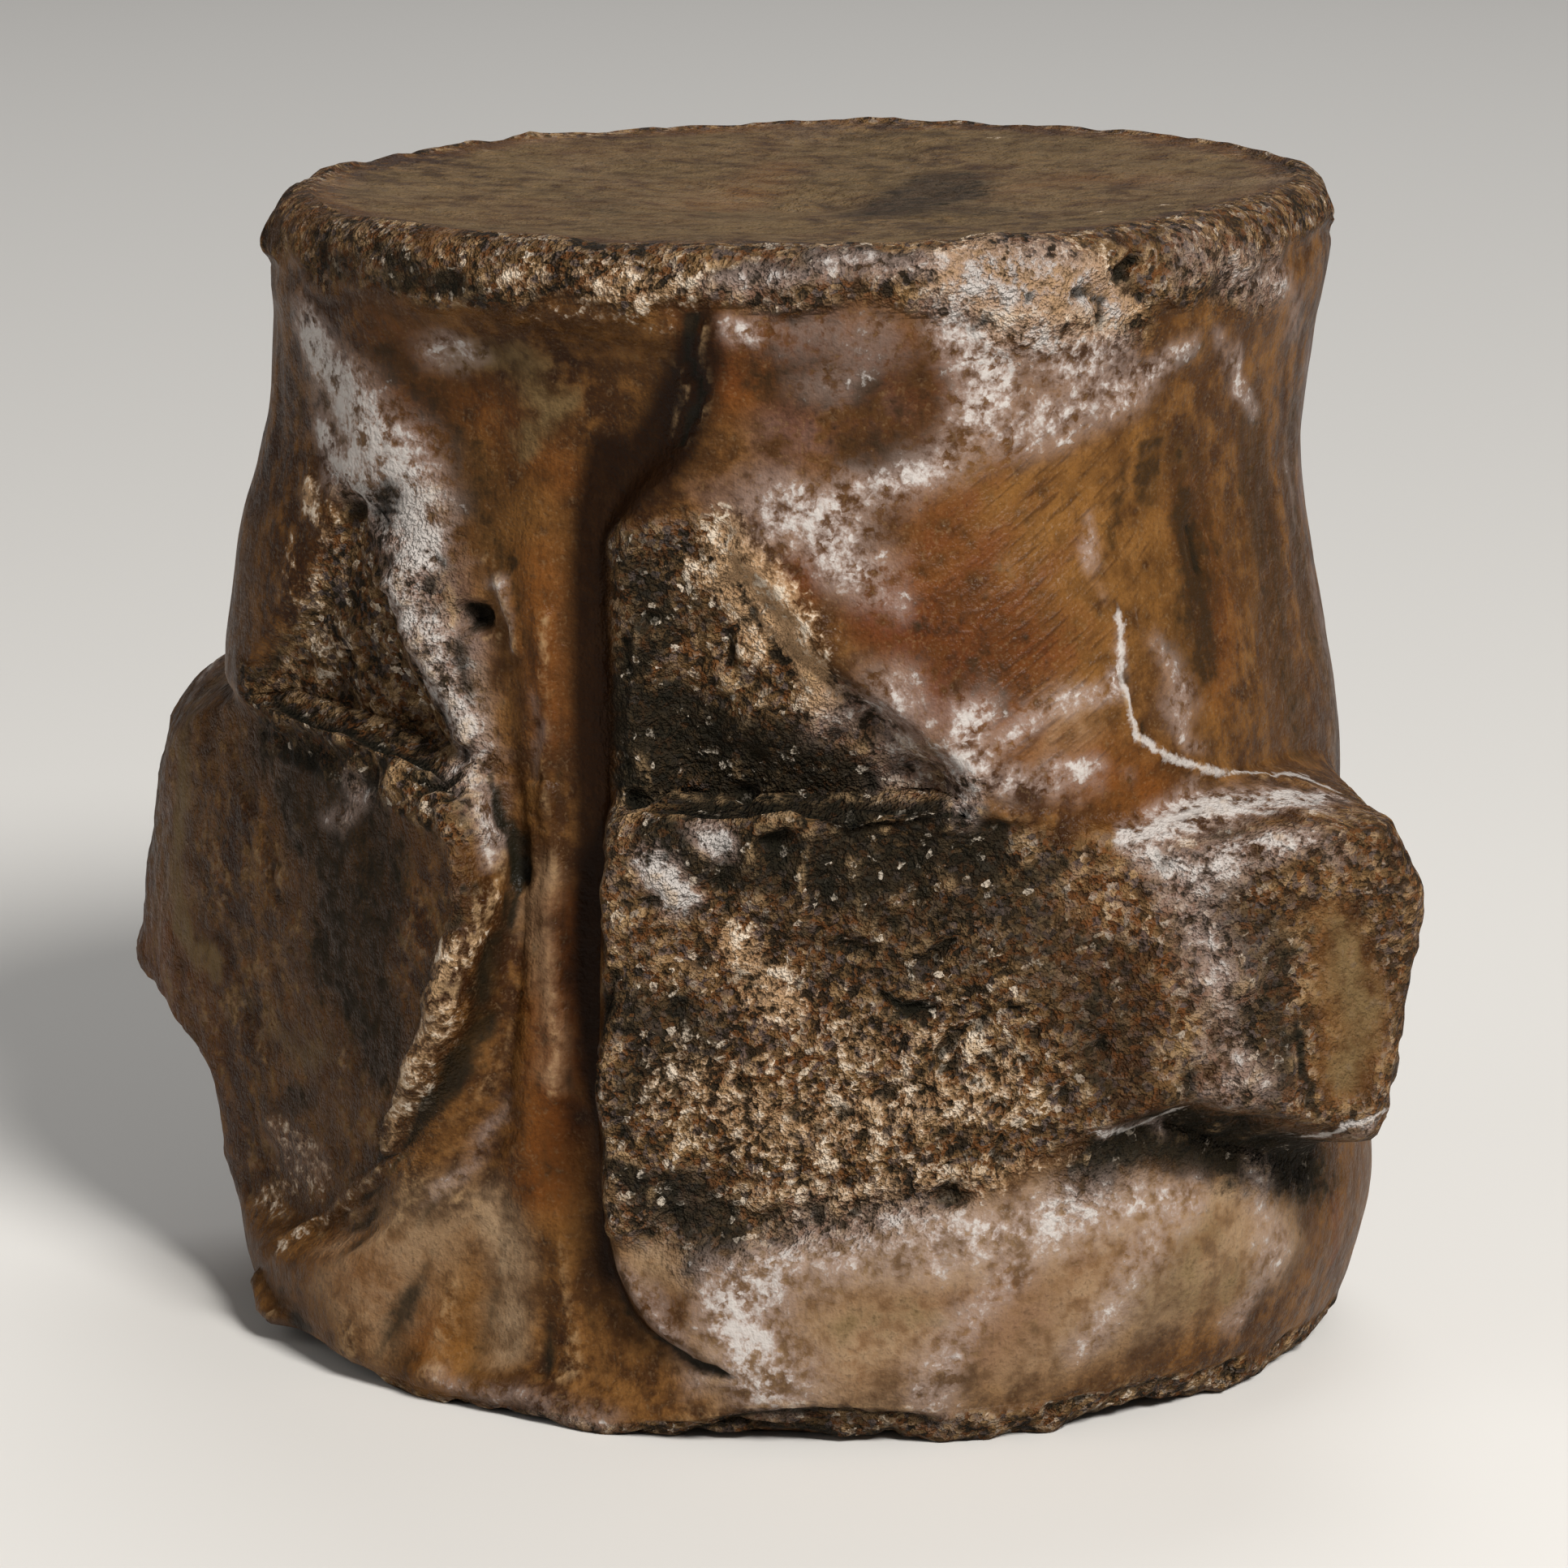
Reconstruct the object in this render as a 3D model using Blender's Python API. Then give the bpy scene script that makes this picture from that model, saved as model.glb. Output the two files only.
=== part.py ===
"""A fossil vertebral centrum: a pinched spool of bone that stands on one end face.

Its length runs up +Z. The dorsal side, with the neural canal, faces -Y, and azimuths are degrees from the dorsal
midline, positive towards +X. The shape is one closed surface, given as a radius for each azimuth and height.
Sizes in this file are in millimetres, and the mesh is scaled to metres at the end.
"""

import bmesh
import bpy
import numpy as np

METRES_PER_MM = 0.001
GRAZING = 0.15  # least cosine at which a ray is taken to meet a plane

# Main sizes
LENGTH = 28.4
TOP_RISE = 0.35
TOP_HIGH_AZ = 122.0
RIM_ROUND_TOP = 1.1
RIM_ROUND_BOTTOM = 0.8
RIM_INSET_TOP = 0.88
RIM_INSET_BOTTOM = 0.56
TOP_DISH = 0.6
BASE_HOLLOW = 0.9
BASE_FLAT_FROM = 0.62
SECTION_POWER = 2.15

# Half widths of the spool as (height, width): sideways, towards the back and towards the belly
LATERAL = (
    (0, 13.6), (1.6, 14.1), (4, 14.6), (7, 14.3), (10, 13.7), (15, 13.2), (19, 12.5), (22, 12.2), (24.5, 12.4),
    (26.5, 12.75), (28.4, 12.8),
)
DORSAL = (
    (0, 13.0), (1.6, 13.2), (4, 12.8), (8, 12.2), (15, 12.0), (22, 12.1), (25, 12.6), (26.5, 12.9), (28.4, 13.0),
)
VENTRAL = (
    (0, 11.8), (1.6, 12.0), (4, 12.1), (8, 12.2), (14, 12.0), (21, 12.0), (25, 12.5), (26.5, 12.8), (28.4, 13.0),
)

# The buttress: a swelling of the flanks beside the upper facets, as (height, extra radius)
BUTTRESS_AZ, BUTTRESS_WIDTH = 58.0, 26.0
BUTTRESS = ((9, 0), (13, 0.7), (17, 1.25), (19, 1.2), (21.5, 0.8), (23.5, 0.4), (25.5, 0.05), (28.4, -0.15))

# The arch platforms and rib processes: upright planes, each with its normal's azimuth and its distance
ROOF_AZ, ROOF_DISTANCE = 27.6, 12.55
END_AZ, END_DISTANCE = 40.0, 14.3
WORN_AZ, TIP_AZ, UNDER_AZ = 56.0, 83.0, 128.0
PROCESS_FADE = (108.0, 126.0)
UNDER_FROM = 45.0
ROOF_CUTS = (72.0, 60.0)
CREASE, TIP_SOFTNESS = 0.25, 0.9
WORN_RIGHT = ((4, 14.6), (6, 15.2), (7.4, 16.2), (9, 16.4), (14.4, 16.4), (15.2, 16.0), (16, 14.6))
WORN_LEFT = (
    (3, 14.6), (5.2, 14.8), (5.9, 15.1), (6.6, 15.9), (7.3, 16.8), (8.2, 16.55), (10, 16.35), (12, 16.1),
    (13.5, 15.8), (14.5, 15.2), (15.2, 14.4), (16, 13.4),
)
REACH_RIGHT = (
    (4.2, 14.6), (5.4, 15.6), (7, 17.2), (8, 17.8), (10, 18.2), (11.4, 18.6), (12.3, 18.7), (13.3, 18.1),
    (14.4, 17.3), (15.2, 16.6), (16, 15.6),
)
REACH_LEFT = (
    (3.4, 14.6), (4.8, 15.2), (5.8, 16.2), (6.5, 17.7), (7.2, 18.7), (8.2, 18.4), (10, 18.2), (12, 18.0),
    (13.5, 17.8), (14.5, 17.2), (15.2, 16.2), (16.4, 13.4),
)

# Upper and lower edges of the platforms, as (azimuth, height)
TOP_RIGHT = (
    (0, 15.1), (8, 14.9), (48, 15.3), (58, 14.9), (66, 14.9), (77, 15.3), (88, 15.2), (105, 14.9), (130, 14.6),
)
TOP_LEFT = ((0, 15.1), (12, 15.4), (35, 15.9), (60, 16.0), (80, 16.4), (100, 16.2), (130, 15.6))
FOOT_RIGHT = (
    (0, 5.6), (10, 4.9), (28, 4.9), (41, 5.5), (58, 7.3), (66, 8.0), (77, 7.0), (88, 6.0), (100, 5.2),
)
FOOT_LEFT = ((0, 5.6), (14, 4.4), (30, 3.0), (50, 2.6), (64, 3.4), (78, 4.6), (100, 4.6))
TOP_EDGE = (0.15, -0.8)
FOOT_EDGE = (-0.6, 0.5)

# The neural canal, by height: sideways place of its walls' tops and feet, and how far back its floor lies
CANAL_RADIUS = 12.6
WALL_RIGHT = (
    (0, 7.6), (2, 5.2), (3.1, 3.3), (4.9, 2.4), (8, 2.25), (21, 2.25), (22.3, 3.1), (23.5, 4.4), (26, 4.8),
    (28, 5.2),
)
WALL_LEFT = (
    (0, 8.2), (2.8, 7.0), (4.6, 5.4), (6.1, 4.1), (8, 2.8), (10.5, 1.9), (13, 1.6), (15.2, 2.6), (16.7, 3.6),
    (19, 4.0), (20.7, 4.8), (21.7, 5.9), (24, 6.6), (28, 7.0),
)
WALL_FOOT_RIGHT = (
    (0, 5.2), (2, 3.4), (3.1, 2.2), (4.9, 1.55), (8, 1.4), (21, 1.4), (22.3, 2.0), (23.5, 3.0), (26, 3.6),
    (28.4, 3.8),
)
WALL_FOOT_LEFT = (
    (0, 3.4), (3, 2.6), (6, 1.6), (9, 1.0), (13, 0.85), (16, 1.3), (20, 1.9), (24, 2.5), (28.4, 3.0),
)
FLOOR = (
    (0, 12.8), (1, 12.4), (4, 11.8), (8, 11.4), (14, 11.3), (19, 11.3), (22.5, 11.2), (25, 11.6), (26.4, 12.3),
    (28, 12.9),
)
CANAL_OPENS, CANAL_CLOSES = (0.2, 1.4), (26.8, 25.6)
CANAL_ASIDE = 60.0
RIDGE_HEIGHT, RIDGE_AT, RIDGE_WIDTH = 0.45, -0.35, 0.8
RIDGE_FLARED, RIDGE_OPENS, RIDGE_CLOSES = 0.35, (4.5, 8.5), (22.5, 19.0)

# The sunken facets above the notch: azimuth of their outer edge by height, and their depth
FACET_RIGHT = ((0, 46), (14.5, 49), (15.4, 48.5), (19.2, 32), (21.8, 24.5), (23.5, 28), (28.4, 38))
FACET_LEFT = ((0, 48), (14.5, 49), (15.4, 48.5), (19.2, 37), (21, 33), (23.5, 38), (28.4, 42))
FACET_DEPTH = ((14.6, 1.5), (15.4, 1.5), (17, 1.1), (19, 0.7), (21.5, 0.3), (22.6, 0))
FACET_LIP, FACET_SLOPE = 0.5, -3.0
FACET_FROM = (-0.2, 0.1)
FACET_MARGIN, MARGIN_FROM, MARGIN_TO = 0.3, -0.1, 1.5

# Slow unevenness of the whole surface: turns round the spool, radians per mm up it, start, size
WAVES = (
    (2, 0.21, 0.4, 0.07), (3, -0.33, 2.1, 0.06), (5, 0.27, 1.2, 0.05), (1, 0.52, 4.0, 0.05), (7, -0.41, 5.1, 0.03),
)

# The grid: columns bunch up at the canal walls and the processes, rows at the platforms' edges
COLUMN_STEPS = (4, 2, 7, 2, 7, 4, 5, 4, 7)
ROW_STEPS = (4, 5, 4, 8, 4, 8, 6, 4)
COLUMN_LINES = (66.0, 76.0, 90.0, 108.0, 180.0)
FACET_COLUMNS = (-3.5, 0.5)
PLATFORM_ROWS = (-0.9, 0.2)
WAIST_ROW = 22.0
GRID_ROUNDS = 4
TOP_RINGS = (0.95, 0.85, 0.7, 0.52, 0.34, 0.17)
BASE_RINGS = (0.8, BASE_FLAT_FROM, 0.48, 0.32, 0.16)

BONE_COLOUR = (0.27, 0.16, 0.08, 1.0)
BONE_ROUGHNESS = 0.5


def smoothstep(low, high, x):
    t = np.clip((x - low) / (high - low), 0, 1)
    return t * t * (3 - 2 * t)


def soft_min(a, b, width):
    t = np.clip(0.5 + 0.5 * (b - a) / width, 0, 1)
    return b + (a - b) * t - width * t * (1 - t)


def bump(x, centre, width):
    return np.exp(-(((x - centre) / width) ** 2))


def cosd(angle):
    return np.cos(np.radians(angle))


def sind(angle):
    return np.sin(np.radians(angle))


def curve(at, points):
    """The smooth curve through (place, value) points, which doesn't overshoot them."""
    xs, ys = np.array(points, float).T
    step, slope = np.diff(xs), np.diff(ys) / np.diff(xs)
    tangent = np.zeros(len(xs))
    same = slope[:-1] * slope[1:] > 0
    tangent[1:-1][same] = 2 * (slope[:-1] * slope[1:])[same] / (slope[:-1] + slope[1:])[same]
    at = np.clip(at, xs[0], xs[-1])
    i = np.clip(np.searchsorted(xs, at, side="right") - 1, 0, len(xs) - 2)
    t = (at - xs[i]) / step[i]
    start, end = (1 + 2 * t) * (1 - t) ** 2, t * t * (3 - 2 * t)
    bend = t * (1 - t) * step[i] * ((1 - t) * tangent[i] - t * tangent[i + 1])
    return start * ys[i] + end * ys[i + 1] + bend


def by_side(az, right, left, at):
    return np.where(az >= 0, curve(at, right), curve(at, left))


def plane(az, normal_az, distance):
    """How far out a ray at azimuth az meets an upright plane."""
    return distance / np.maximum(cosd(az - normal_az), GRAZING)


def spool(az, z):
    depth = np.where(cosd(az) > 0, curve(z, DORSAL), curve(z, VENTRAL))
    n = SECTION_POWER
    r = (np.abs(sind(az) / curve(z, LATERAL)) ** n + np.abs(cosd(az) / depth) ** n) ** (-1 / n)
    return r + curve(z, BUTTRESS) * bump(np.abs(az), BUTTRESS_AZ, BUTTRESS_WIDTH)


def platform(az, z):
    """The flat roof, the end and worn faces of the rib process, and its underside."""
    aside = np.abs(az)
    roof = plane(aside, ROOF_AZ, ROOF_DISTANCE)
    end = plane(aside, END_AZ, END_DISTANCE)
    worn = plane(aside, WORN_AZ, by_side(az, WORN_RIGHT, WORN_LEFT, z))
    reach = by_side(az, REACH_RIGHT, REACH_LEFT, z)
    under = plane(aside, UNDER_AZ, reach * cosd(UNDER_AZ - TIP_AZ))
    front = soft_min(soft_min(roof, end, CREASE), worn, CREASE)
    return np.where(aside > UNDER_FROM, soft_min(front, under, TIP_SOFTNESS), front)


def platform_edges(az):
    aside = np.abs(az)
    return by_side(az, TOP_RIGHT, TOP_LEFT, aside), by_side(az, FOOT_RIGHT, FOOT_LEFT, aside)


def radius(az, z):
    aside = np.abs(az)
    sideways = CANAL_RADIUS * np.abs(sind(az))
    wall_top = by_side(az, WALL_RIGHT, WALL_LEFT, z)
    wall_foot = by_side(az, WALL_FOOT_RIGHT, WALL_FOOT_LEFT, z)
    top, foot = platform_edges(az)
    r = spool(az, z)

    inside = smoothstep(FACET_LIP, FACET_SLOPE, aside - by_side(az, FACET_RIGHT, FACET_LEFT, z))
    inside = inside * smoothstep(top + FACET_FROM[0], top + FACET_FROM[1], z)
    margin = smoothstep(wall_top + MARGIN_FROM, wall_top + MARGIN_TO, sideways)
    r = r - curve(z, FACET_DEPTH) * inside * (FACET_MARGIN + (1 - FACET_MARGIN) * margin)

    within = smoothstep(top + TOP_EDGE[0], top + TOP_EDGE[1], z)
    within = within * smoothstep(foot + FOOT_EDGE[0], foot + FOOT_EDGE[1], z)
    within = within * smoothstep(PROCESS_FADE[1], PROCESS_FADE[0], aside)
    lift = platform(az, z) - r
    cut = np.minimum(lift, 0) * smoothstep(*ROOF_CUTS, aside)
    r = r + np.maximum(lift, cut) * within

    is_open = smoothstep(*CANAL_OPENS, z) * smoothstep(*CANAL_CLOSES, z) * (aside < CANAL_ASIDE)
    down = smoothstep(0, 1, (wall_top - sideways) / (wall_top - wall_foot)) * is_open
    narrow = smoothstep(*RIDGE_OPENS, z) * smoothstep(*RIDGE_CLOSES, z)
    ridge = RIDGE_HEIGHT * bump(CANAL_RADIUS * sind(az), RIDGE_AT, RIDGE_WIDTH)
    ridge = ridge * (RIDGE_FLARED + (1 - RIDGE_FLARED) * narrow)
    floor = (curve(z, FLOOR) + ridge) / np.maximum(cosd(az), GRAZING)
    return r + np.minimum(floor - r, 0) * down


def unevenness(az, z):
    return sum(size * np.sin(np.radians(turns * az) + rate * z + start) for turns, rate, start, size in WAVES)


def top_height(az):
    return LENGTH - TOP_RISE / 2 + TOP_RISE / 2 * cosd(az - TOP_HIGH_AZ)


def rim_inset(z, height):
    """How far the rounded rims draw in."""
    low = np.clip(1 - z / RIM_ROUND_BOTTOM, 0, 1)
    high = np.clip(1 - (height - z) / RIM_ROUND_TOP, 0, 1)
    return RIM_INSET_BOTTOM * (1 - np.sqrt(1 - low**2)) + RIM_INSET_TOP * (1 - np.sqrt(1 - high**2))


def spread(knots, steps):
    """Places from the first knot to the last, with steps[i] equal steps between each two."""
    places = []
    for low, high, count in zip(knots[:-1], knots[1:], steps):
        places += [low + (high - low) * i / count for i in range(count)]
    return np.array(places + [knots[-1]])


def column_places(z, side):
    """Azimuths of one side's columns at each of the heights z."""
    walls = (WALL_FOOT_RIGHT, WALL_RIGHT) if side > 0 else (WALL_FOOT_LEFT, WALL_LEFT)
    foot, top = (np.degrees(np.arcsin(curve(z, wall) / CANAL_RADIUS)) for wall in walls)
    facet = curve(z, FACET_RIGHT if side > 0 else FACET_LEFT)
    lines = [0 * z + line for line in COLUMN_LINES]
    knots = [0 * z, foot, top, facet + FACET_COLUMNS[0], facet + FACET_COLUMNS[1], *lines]
    return side * spread(knots, COLUMN_STEPS)


def row_places(az):
    """Heights of the rows at each of the azimuths az."""
    top, foot = platform_edges(az)
    high, zero = top_height(az), 0 * az
    return spread(
        [
            zero,
            zero + RIM_ROUND_BOTTOM,
            foot + FOOT_EDGE[0],
            foot + FOOT_EDGE[1],
            top + PLATFORM_ROWS[0],
            top + PLATFORM_ROWS[1],
            zero + WAIST_ROW,
            high - RIM_ROUND_TOP,
            high,
        ],
        ROW_STEPS,
    )


def surface_grid():
    """(azimuth, height) of every grid point, rows upwards and columns round, settled in a few rounds."""
    rows, half = sum(ROW_STEPS) + 1, sum(COLUMN_STEPS)
    z = np.repeat(np.linspace(0, LENGTH, rows)[:, None], 2 * half, axis=1)
    az = np.zeros_like(z)
    row = np.arange(rows)
    for _ in range(GRID_ROUNDS):
        for j in range(half):
            az[:, j] = column_places(z[:, j], 1)[j]
            az[:, half + j] = column_places(z[:, half + j], -1)[half - j]
        for j in range(2 * half):
            z[:, j] = row_places(az[:, j])[row, row]
    return az, z


def surface():
    """Points of the sides, as rows of columns."""
    az, z = surface_grid()
    r = radius(az, z) - rim_inset(z, top_height(az)) + unevenness(az, z)
    return np.stack([r * sind(az), -r * cosd(az), z], axis=-1)


def top_ring(rim, scale):
    ring = rim * scale
    ring[:, 2] = rim[:, 2] * scale + LENGTH * (1 - scale) - TOP_DISH * (1 - scale**2)
    return ring


def base_ring(rim, scale):
    ring = rim * scale
    ring[:, 2] = BASE_HOLLOW * (1 - min(1, scale / BASE_FLAT_FROM) ** 2)
    return ring


def closed_rows():
    """Every ring from the middle of the base, up the sides, to the middle of the upper face."""
    sides = surface()
    base = [base_ring(sides[0], scale) for scale in reversed(BASE_RINGS)]
    top = [top_ring(sides[-1], scale) for scale in TOP_RINGS]
    rows = np.concatenate([base, sides, top])
    middle = (rows.reshape(-1, 3).min(axis=0) + rows.reshape(-1, 3).max(axis=0)) / 2
    rows[..., :2] -= middle[:2]
    return rows, middle[:2]


def bone_material():
    material = bpy.data.materials.new("bone")
    material.use_nodes = True
    shader = material.node_tree.nodes["Principled BSDF"]
    shader.inputs["Base Color"].default_value = BONE_COLOUR
    shader.inputs["Roughness"].default_value = BONE_ROUGHNESS
    material.diffuse_color = BONE_COLOUR
    return material


def build_centrum():
    rows, middle = closed_rows()
    mesh = bmesh.new()
    rings = [[mesh.verts.new(point * METRES_PER_MM) for point in ring] for ring in rows]
    ends = [(-middle[0], -middle[1], BASE_HOLLOW), (-middle[0], -middle[1], LENGTH - TOP_DISH)]
    bottom, top = (mesh.verts.new([c * METRES_PER_MM for c in end]) for end in ends)
    columns = len(rings[0])
    for j in range(columns):
        k = (j + 1) % columns
        mesh.faces.new((bottom, rings[0][k], rings[0][j]))
        mesh.faces.new((top, rings[-1][j], rings[-1][k]))
        for low, high in zip(rings[:-1], rings[1:]):
            a, b, c, d = low[j], low[k], high[k], high[j]
            if (a.co - c.co).length < (b.co - d.co).length:
                mesh.faces.new((a, b, c))
                mesh.faces.new((a, c, d))
            else:
                mesh.faces.new((a, b, d))
                mesh.faces.new((b, c, d))
    data = bpy.data.meshes.new("centrum")
    mesh.to_mesh(data)
    mesh.free()
    data.materials.append(bone_material())
    bpy.context.scene.collection.objects.link(bpy.data.objects.new("centrum", data))


def main():
    for obj in list(bpy.data.objects):
        bpy.data.objects.remove(obj, do_unlink=True)
    build_centrum()


main()
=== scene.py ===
"""Looks of the fossil vertebral centrum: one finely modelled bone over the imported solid, its material,
floor, light and camera.

The form is the solid's own, made again on a finer grid, with the relief of broken bone, rims, ridges, cracks
and crust added to it. Lengths are in millimetres, and the mesh is scaled to metres at the end. Azimuths are
degrees from the dorsal midline. A place given as (x, y) is a pixel of the 1932 by 1932 photograph, and the
script finds the point of the solid that shows there. A place on the far side is an azimuth and a height.
"""

import bpy
import numpy as np
from mathutils import Matrix, Vector
from mathutils.bvhtree import BVHTree


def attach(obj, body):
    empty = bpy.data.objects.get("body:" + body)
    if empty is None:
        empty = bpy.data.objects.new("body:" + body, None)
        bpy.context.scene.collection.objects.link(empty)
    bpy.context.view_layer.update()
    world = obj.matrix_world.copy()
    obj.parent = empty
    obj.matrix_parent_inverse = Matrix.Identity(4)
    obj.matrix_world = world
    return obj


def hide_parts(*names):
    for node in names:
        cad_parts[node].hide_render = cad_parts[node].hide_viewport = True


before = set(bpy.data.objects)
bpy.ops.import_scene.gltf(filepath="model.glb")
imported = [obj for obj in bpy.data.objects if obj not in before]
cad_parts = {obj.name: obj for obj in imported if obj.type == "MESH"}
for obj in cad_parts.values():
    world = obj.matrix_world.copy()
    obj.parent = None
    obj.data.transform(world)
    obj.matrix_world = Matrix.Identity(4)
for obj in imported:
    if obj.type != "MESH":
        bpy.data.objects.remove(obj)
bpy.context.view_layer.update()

METRES_PER_MM = 0.001
GRAZING = 0.15  # the least cosine that a distance is divided by

# The camera
VIEW_AZ, VIEW_EL = 30.5, 12.0
CAMERA_DISTANCE = 165.0
PX_PER_MM = 49.4
IMAGE_SIDE = 1932
TARGET_HEIGHT, TARGET_LEFT = 13.1, 0.385
SENSOR = 36.0
INWARD_STEPS = (0.0, 0.01, 0.02, 0.03, 0.05)

# The form, as the solid has it
LENGTH = 28.4
TOP_RISE = 0.35
TOP_HIGH_AZ = 122.0
RIM_ROUND_TOP = 1.1
RIM_ROUND_BOTTOM = 0.8
RIM_INSET_TOP = 0.88
RIM_INSET_BOTTOM = 0.56
TOP_DISH = 0.6
BASE_HOLLOW = 0.9
BASE_FLAT_FROM = 0.62
SECTION_POWER = 2.15
LATERAL = (
    (0, 13.6), (1.6, 14.1), (4, 14.6), (7, 14.3), (10, 13.7), (15, 13.2), (19, 12.5), (22, 12.2),
    (24.5, 12.4), (26.5, 12.75), (28.4, 12.8),
)
DORSAL = (
    (0, 13.0), (1.6, 13.2), (4, 12.8), (8, 12.2), (15, 12.0), (22, 12.1), (25, 12.6), (26.5, 12.9),
    (28.4, 13.0),
)
VENTRAL = (
    (0, 11.8), (1.6, 12.0), (4, 12.1), (8, 12.2), (14, 12.0), (21, 12.0), (25, 12.5), (26.5, 12.8),
    (28.4, 13.0),
)
BUTTRESS_AZ, BUTTRESS_WIDTH = 58.0, 26.0
BUTTRESS = (
    (9, 0), (13, 0.7), (17, 1.25), (19, 1.2), (21.5, 0.8), (23.5, 0.4), (25.5, 0.05), (28.4, -0.15),
)
ROOF_AZ, ROOF_DISTANCE = 27.6, 12.55
END_AZ, END_DISTANCE = 40.0, 14.3
WORN_AZ, TIP_AZ, UNDER_AZ = 56.0, 83.0, 128.0
PROCESS_FADE = (108.0, 126.0)
UNDER_FROM = 45.0
ROOF_CUTS = (72.0, 60.0)
CREASE, TIP_SOFTNESS = 0.25, 0.9
WORN_RIGHT = ((4, 14.6), (6, 15.2), (7.4, 16.2), (9, 16.4), (14.4, 16.4), (15.2, 16.0), (16, 14.6))
WORN_LEFT = (
    (3, 14.6), (5.2, 14.8), (5.9, 15.1), (6.6, 15.9), (7.3, 16.8), (8.2, 16.55), (10, 16.35), (12, 16.1),
    (13.5, 15.8), (14.5, 15.2), (15.2, 14.4), (16, 13.4),
)
REACH_RIGHT = (
    (4.2, 14.6), (5.4, 15.6), (7, 17.2), (8, 17.8), (10, 18.2), (11.4, 18.6), (12.3, 18.7), (13.3, 18.1),
    (14.4, 17.3), (15.2, 16.6), (16, 15.6),
)
REACH_LEFT = (
    (3.4, 14.6), (4.8, 15.2), (5.8, 16.2), (6.5, 17.7), (7.2, 18.7), (8.2, 18.4), (10, 18.2), (12, 18.0),
    (13.5, 17.8), (14.5, 17.2), (15.2, 16.2), (16.4, 13.4),
)
TOP_RIGHT = (
    (0, 15.1), (8, 14.9), (48, 15.3), (58, 14.9), (66, 14.9), (77, 15.3), (88, 15.2), (105, 14.9),
    (130, 14.6),
)
TOP_LEFT = ((0, 15.1), (12, 15.4), (35, 15.9), (60, 16.0), (80, 16.4), (100, 16.2), (130, 15.6))
FOOT_RIGHT = (
    (0, 5.6), (10, 4.9), (28, 4.9), (41, 5.5), (58, 7.3), (66, 8.0), (77, 7.0), (88, 6.0), (100, 5.2),
)
FOOT_LEFT = ((0, 5.6), (14, 4.4), (30, 3.0), (50, 2.6), (64, 3.4), (78, 4.6), (100, 4.6))
TOP_EDGE = (0.15, -0.8)
FOOT_EDGE = (-0.6, 0.5)
CANAL_RADIUS = 12.6
WALL_RIGHT = (
    (0, 7.6), (2, 5.2), (3.1, 3.3), (4.9, 2.4), (8, 2.25), (21, 2.25), (22.3, 3.1), (23.5, 4.4),
    (26, 4.8), (28, 5.2),
)
WALL_LEFT = (
    (0, 8.2), (2.8, 7.0), (4.6, 5.4), (6.1, 4.1), (8, 2.8), (10.5, 1.9), (13, 1.6), (15.2, 2.6),
    (16.7, 3.6), (19, 4.0), (20.7, 4.8), (21.7, 5.9), (24, 6.6), (28, 7.0),
)
WALL_FOOT_RIGHT = (
    (0, 5.2), (2, 3.4), (3.1, 2.2), (4.9, 1.55), (8, 1.4), (21, 1.4), (22.3, 2.0), (23.5, 3.0), (26, 3.6),
    (28.4, 3.8),
)
WALL_FOOT_LEFT = (
    (0, 3.4), (3, 2.6), (6, 1.6), (9, 1.0), (13, 0.85), (16, 1.3), (20, 1.9), (24, 2.5), (28.4, 3.0),
)
FLOOR = (
    (0, 12.8), (1, 12.4), (4, 11.8), (8, 11.4), (14, 11.3), (19, 11.3), (22.5, 11.2), (25, 11.6),
    (26.4, 12.3), (28, 12.9),
)
CANAL_OPENS, CANAL_CLOSES = (0.2, 1.4), (26.8, 25.6)
CANAL_ASIDE = 60.0
RIDGE_HEIGHT, RIDGE_AT, RIDGE_WIDTH = 0.45, -0.35, 0.8
RIDGE_FLARED, RIDGE_OPENS, RIDGE_CLOSES = 0.35, (4.5, 8.5), (22.5, 19.0)
FACET_RIGHT = ((0, 46), (14.5, 49), (15.4, 48.5), (19.2, 32), (21.8, 24.5), (23.5, 28), (28.4, 38))
FACET_LEFT = ((0, 48), (14.5, 49), (15.4, 48.5), (19.2, 37), (21, 33), (23.5, 38), (28.4, 42))
FACET_DEPTH = ((14.6, 1.5), (15.4, 1.5), (17, 1.1), (19, 0.7), (21.5, 0.3), (22.6, 0))
FACET_LIP, FACET_SLOPE = 0.5, -3.0
FACET_FROM = (-0.2, 0.1)
FACET_MARGIN, MARGIN_FROM, MARGIN_TO = 0.3, -0.1, 1.5
WAVES = (
    (2, 0.21, 0.4, 0.07), (3, -0.33, 2.1, 0.06), (5, 0.27, 1.2, 0.05), (1, 0.52, 4.0, 0.05),
    (7, -0.41, 5.1, 0.03),
)

# The fine grid
COLUMN_STEPS = (10, 6, 40, 5, 32, 13, 18, 18, 46)
ROW_STEPS = (8, 24, 10, 52, 12, 48, 36, 14)
COLUMN_LINES = (66.0, 76.0, 90.0, 108.0, 180.0)
FACET_COLUMNS = (-3.5, 0.5)
PLATFORM_ROWS = (-0.9, 0.2)
WAIST_ROW = 22.0
GRID_ROUNDS = 4
MEAN_RADIUS = 12.5
SLANT = 54.0
TOP_RINGS = tuple(np.linspace(0.985, 0.055, 28))
BASE_RINGS = (0.93, 0.8, BASE_FLAT_FROM, 0.48, 0.32, 0.16)


def smoothstep(low, high, x):
    t = np.clip((x - low) / (high - low), 0, 1)
    return t * t * (3 - 2 * t)


def soft_min(a, b, width):
    t = np.clip(0.5 + 0.5 * (b - a) / width, 0, 1)
    return b + (a - b) * t - width * t * (1 - t)


def bump(x, centre, width):
    return np.exp(-(((x - centre) / width) ** 2))


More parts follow.
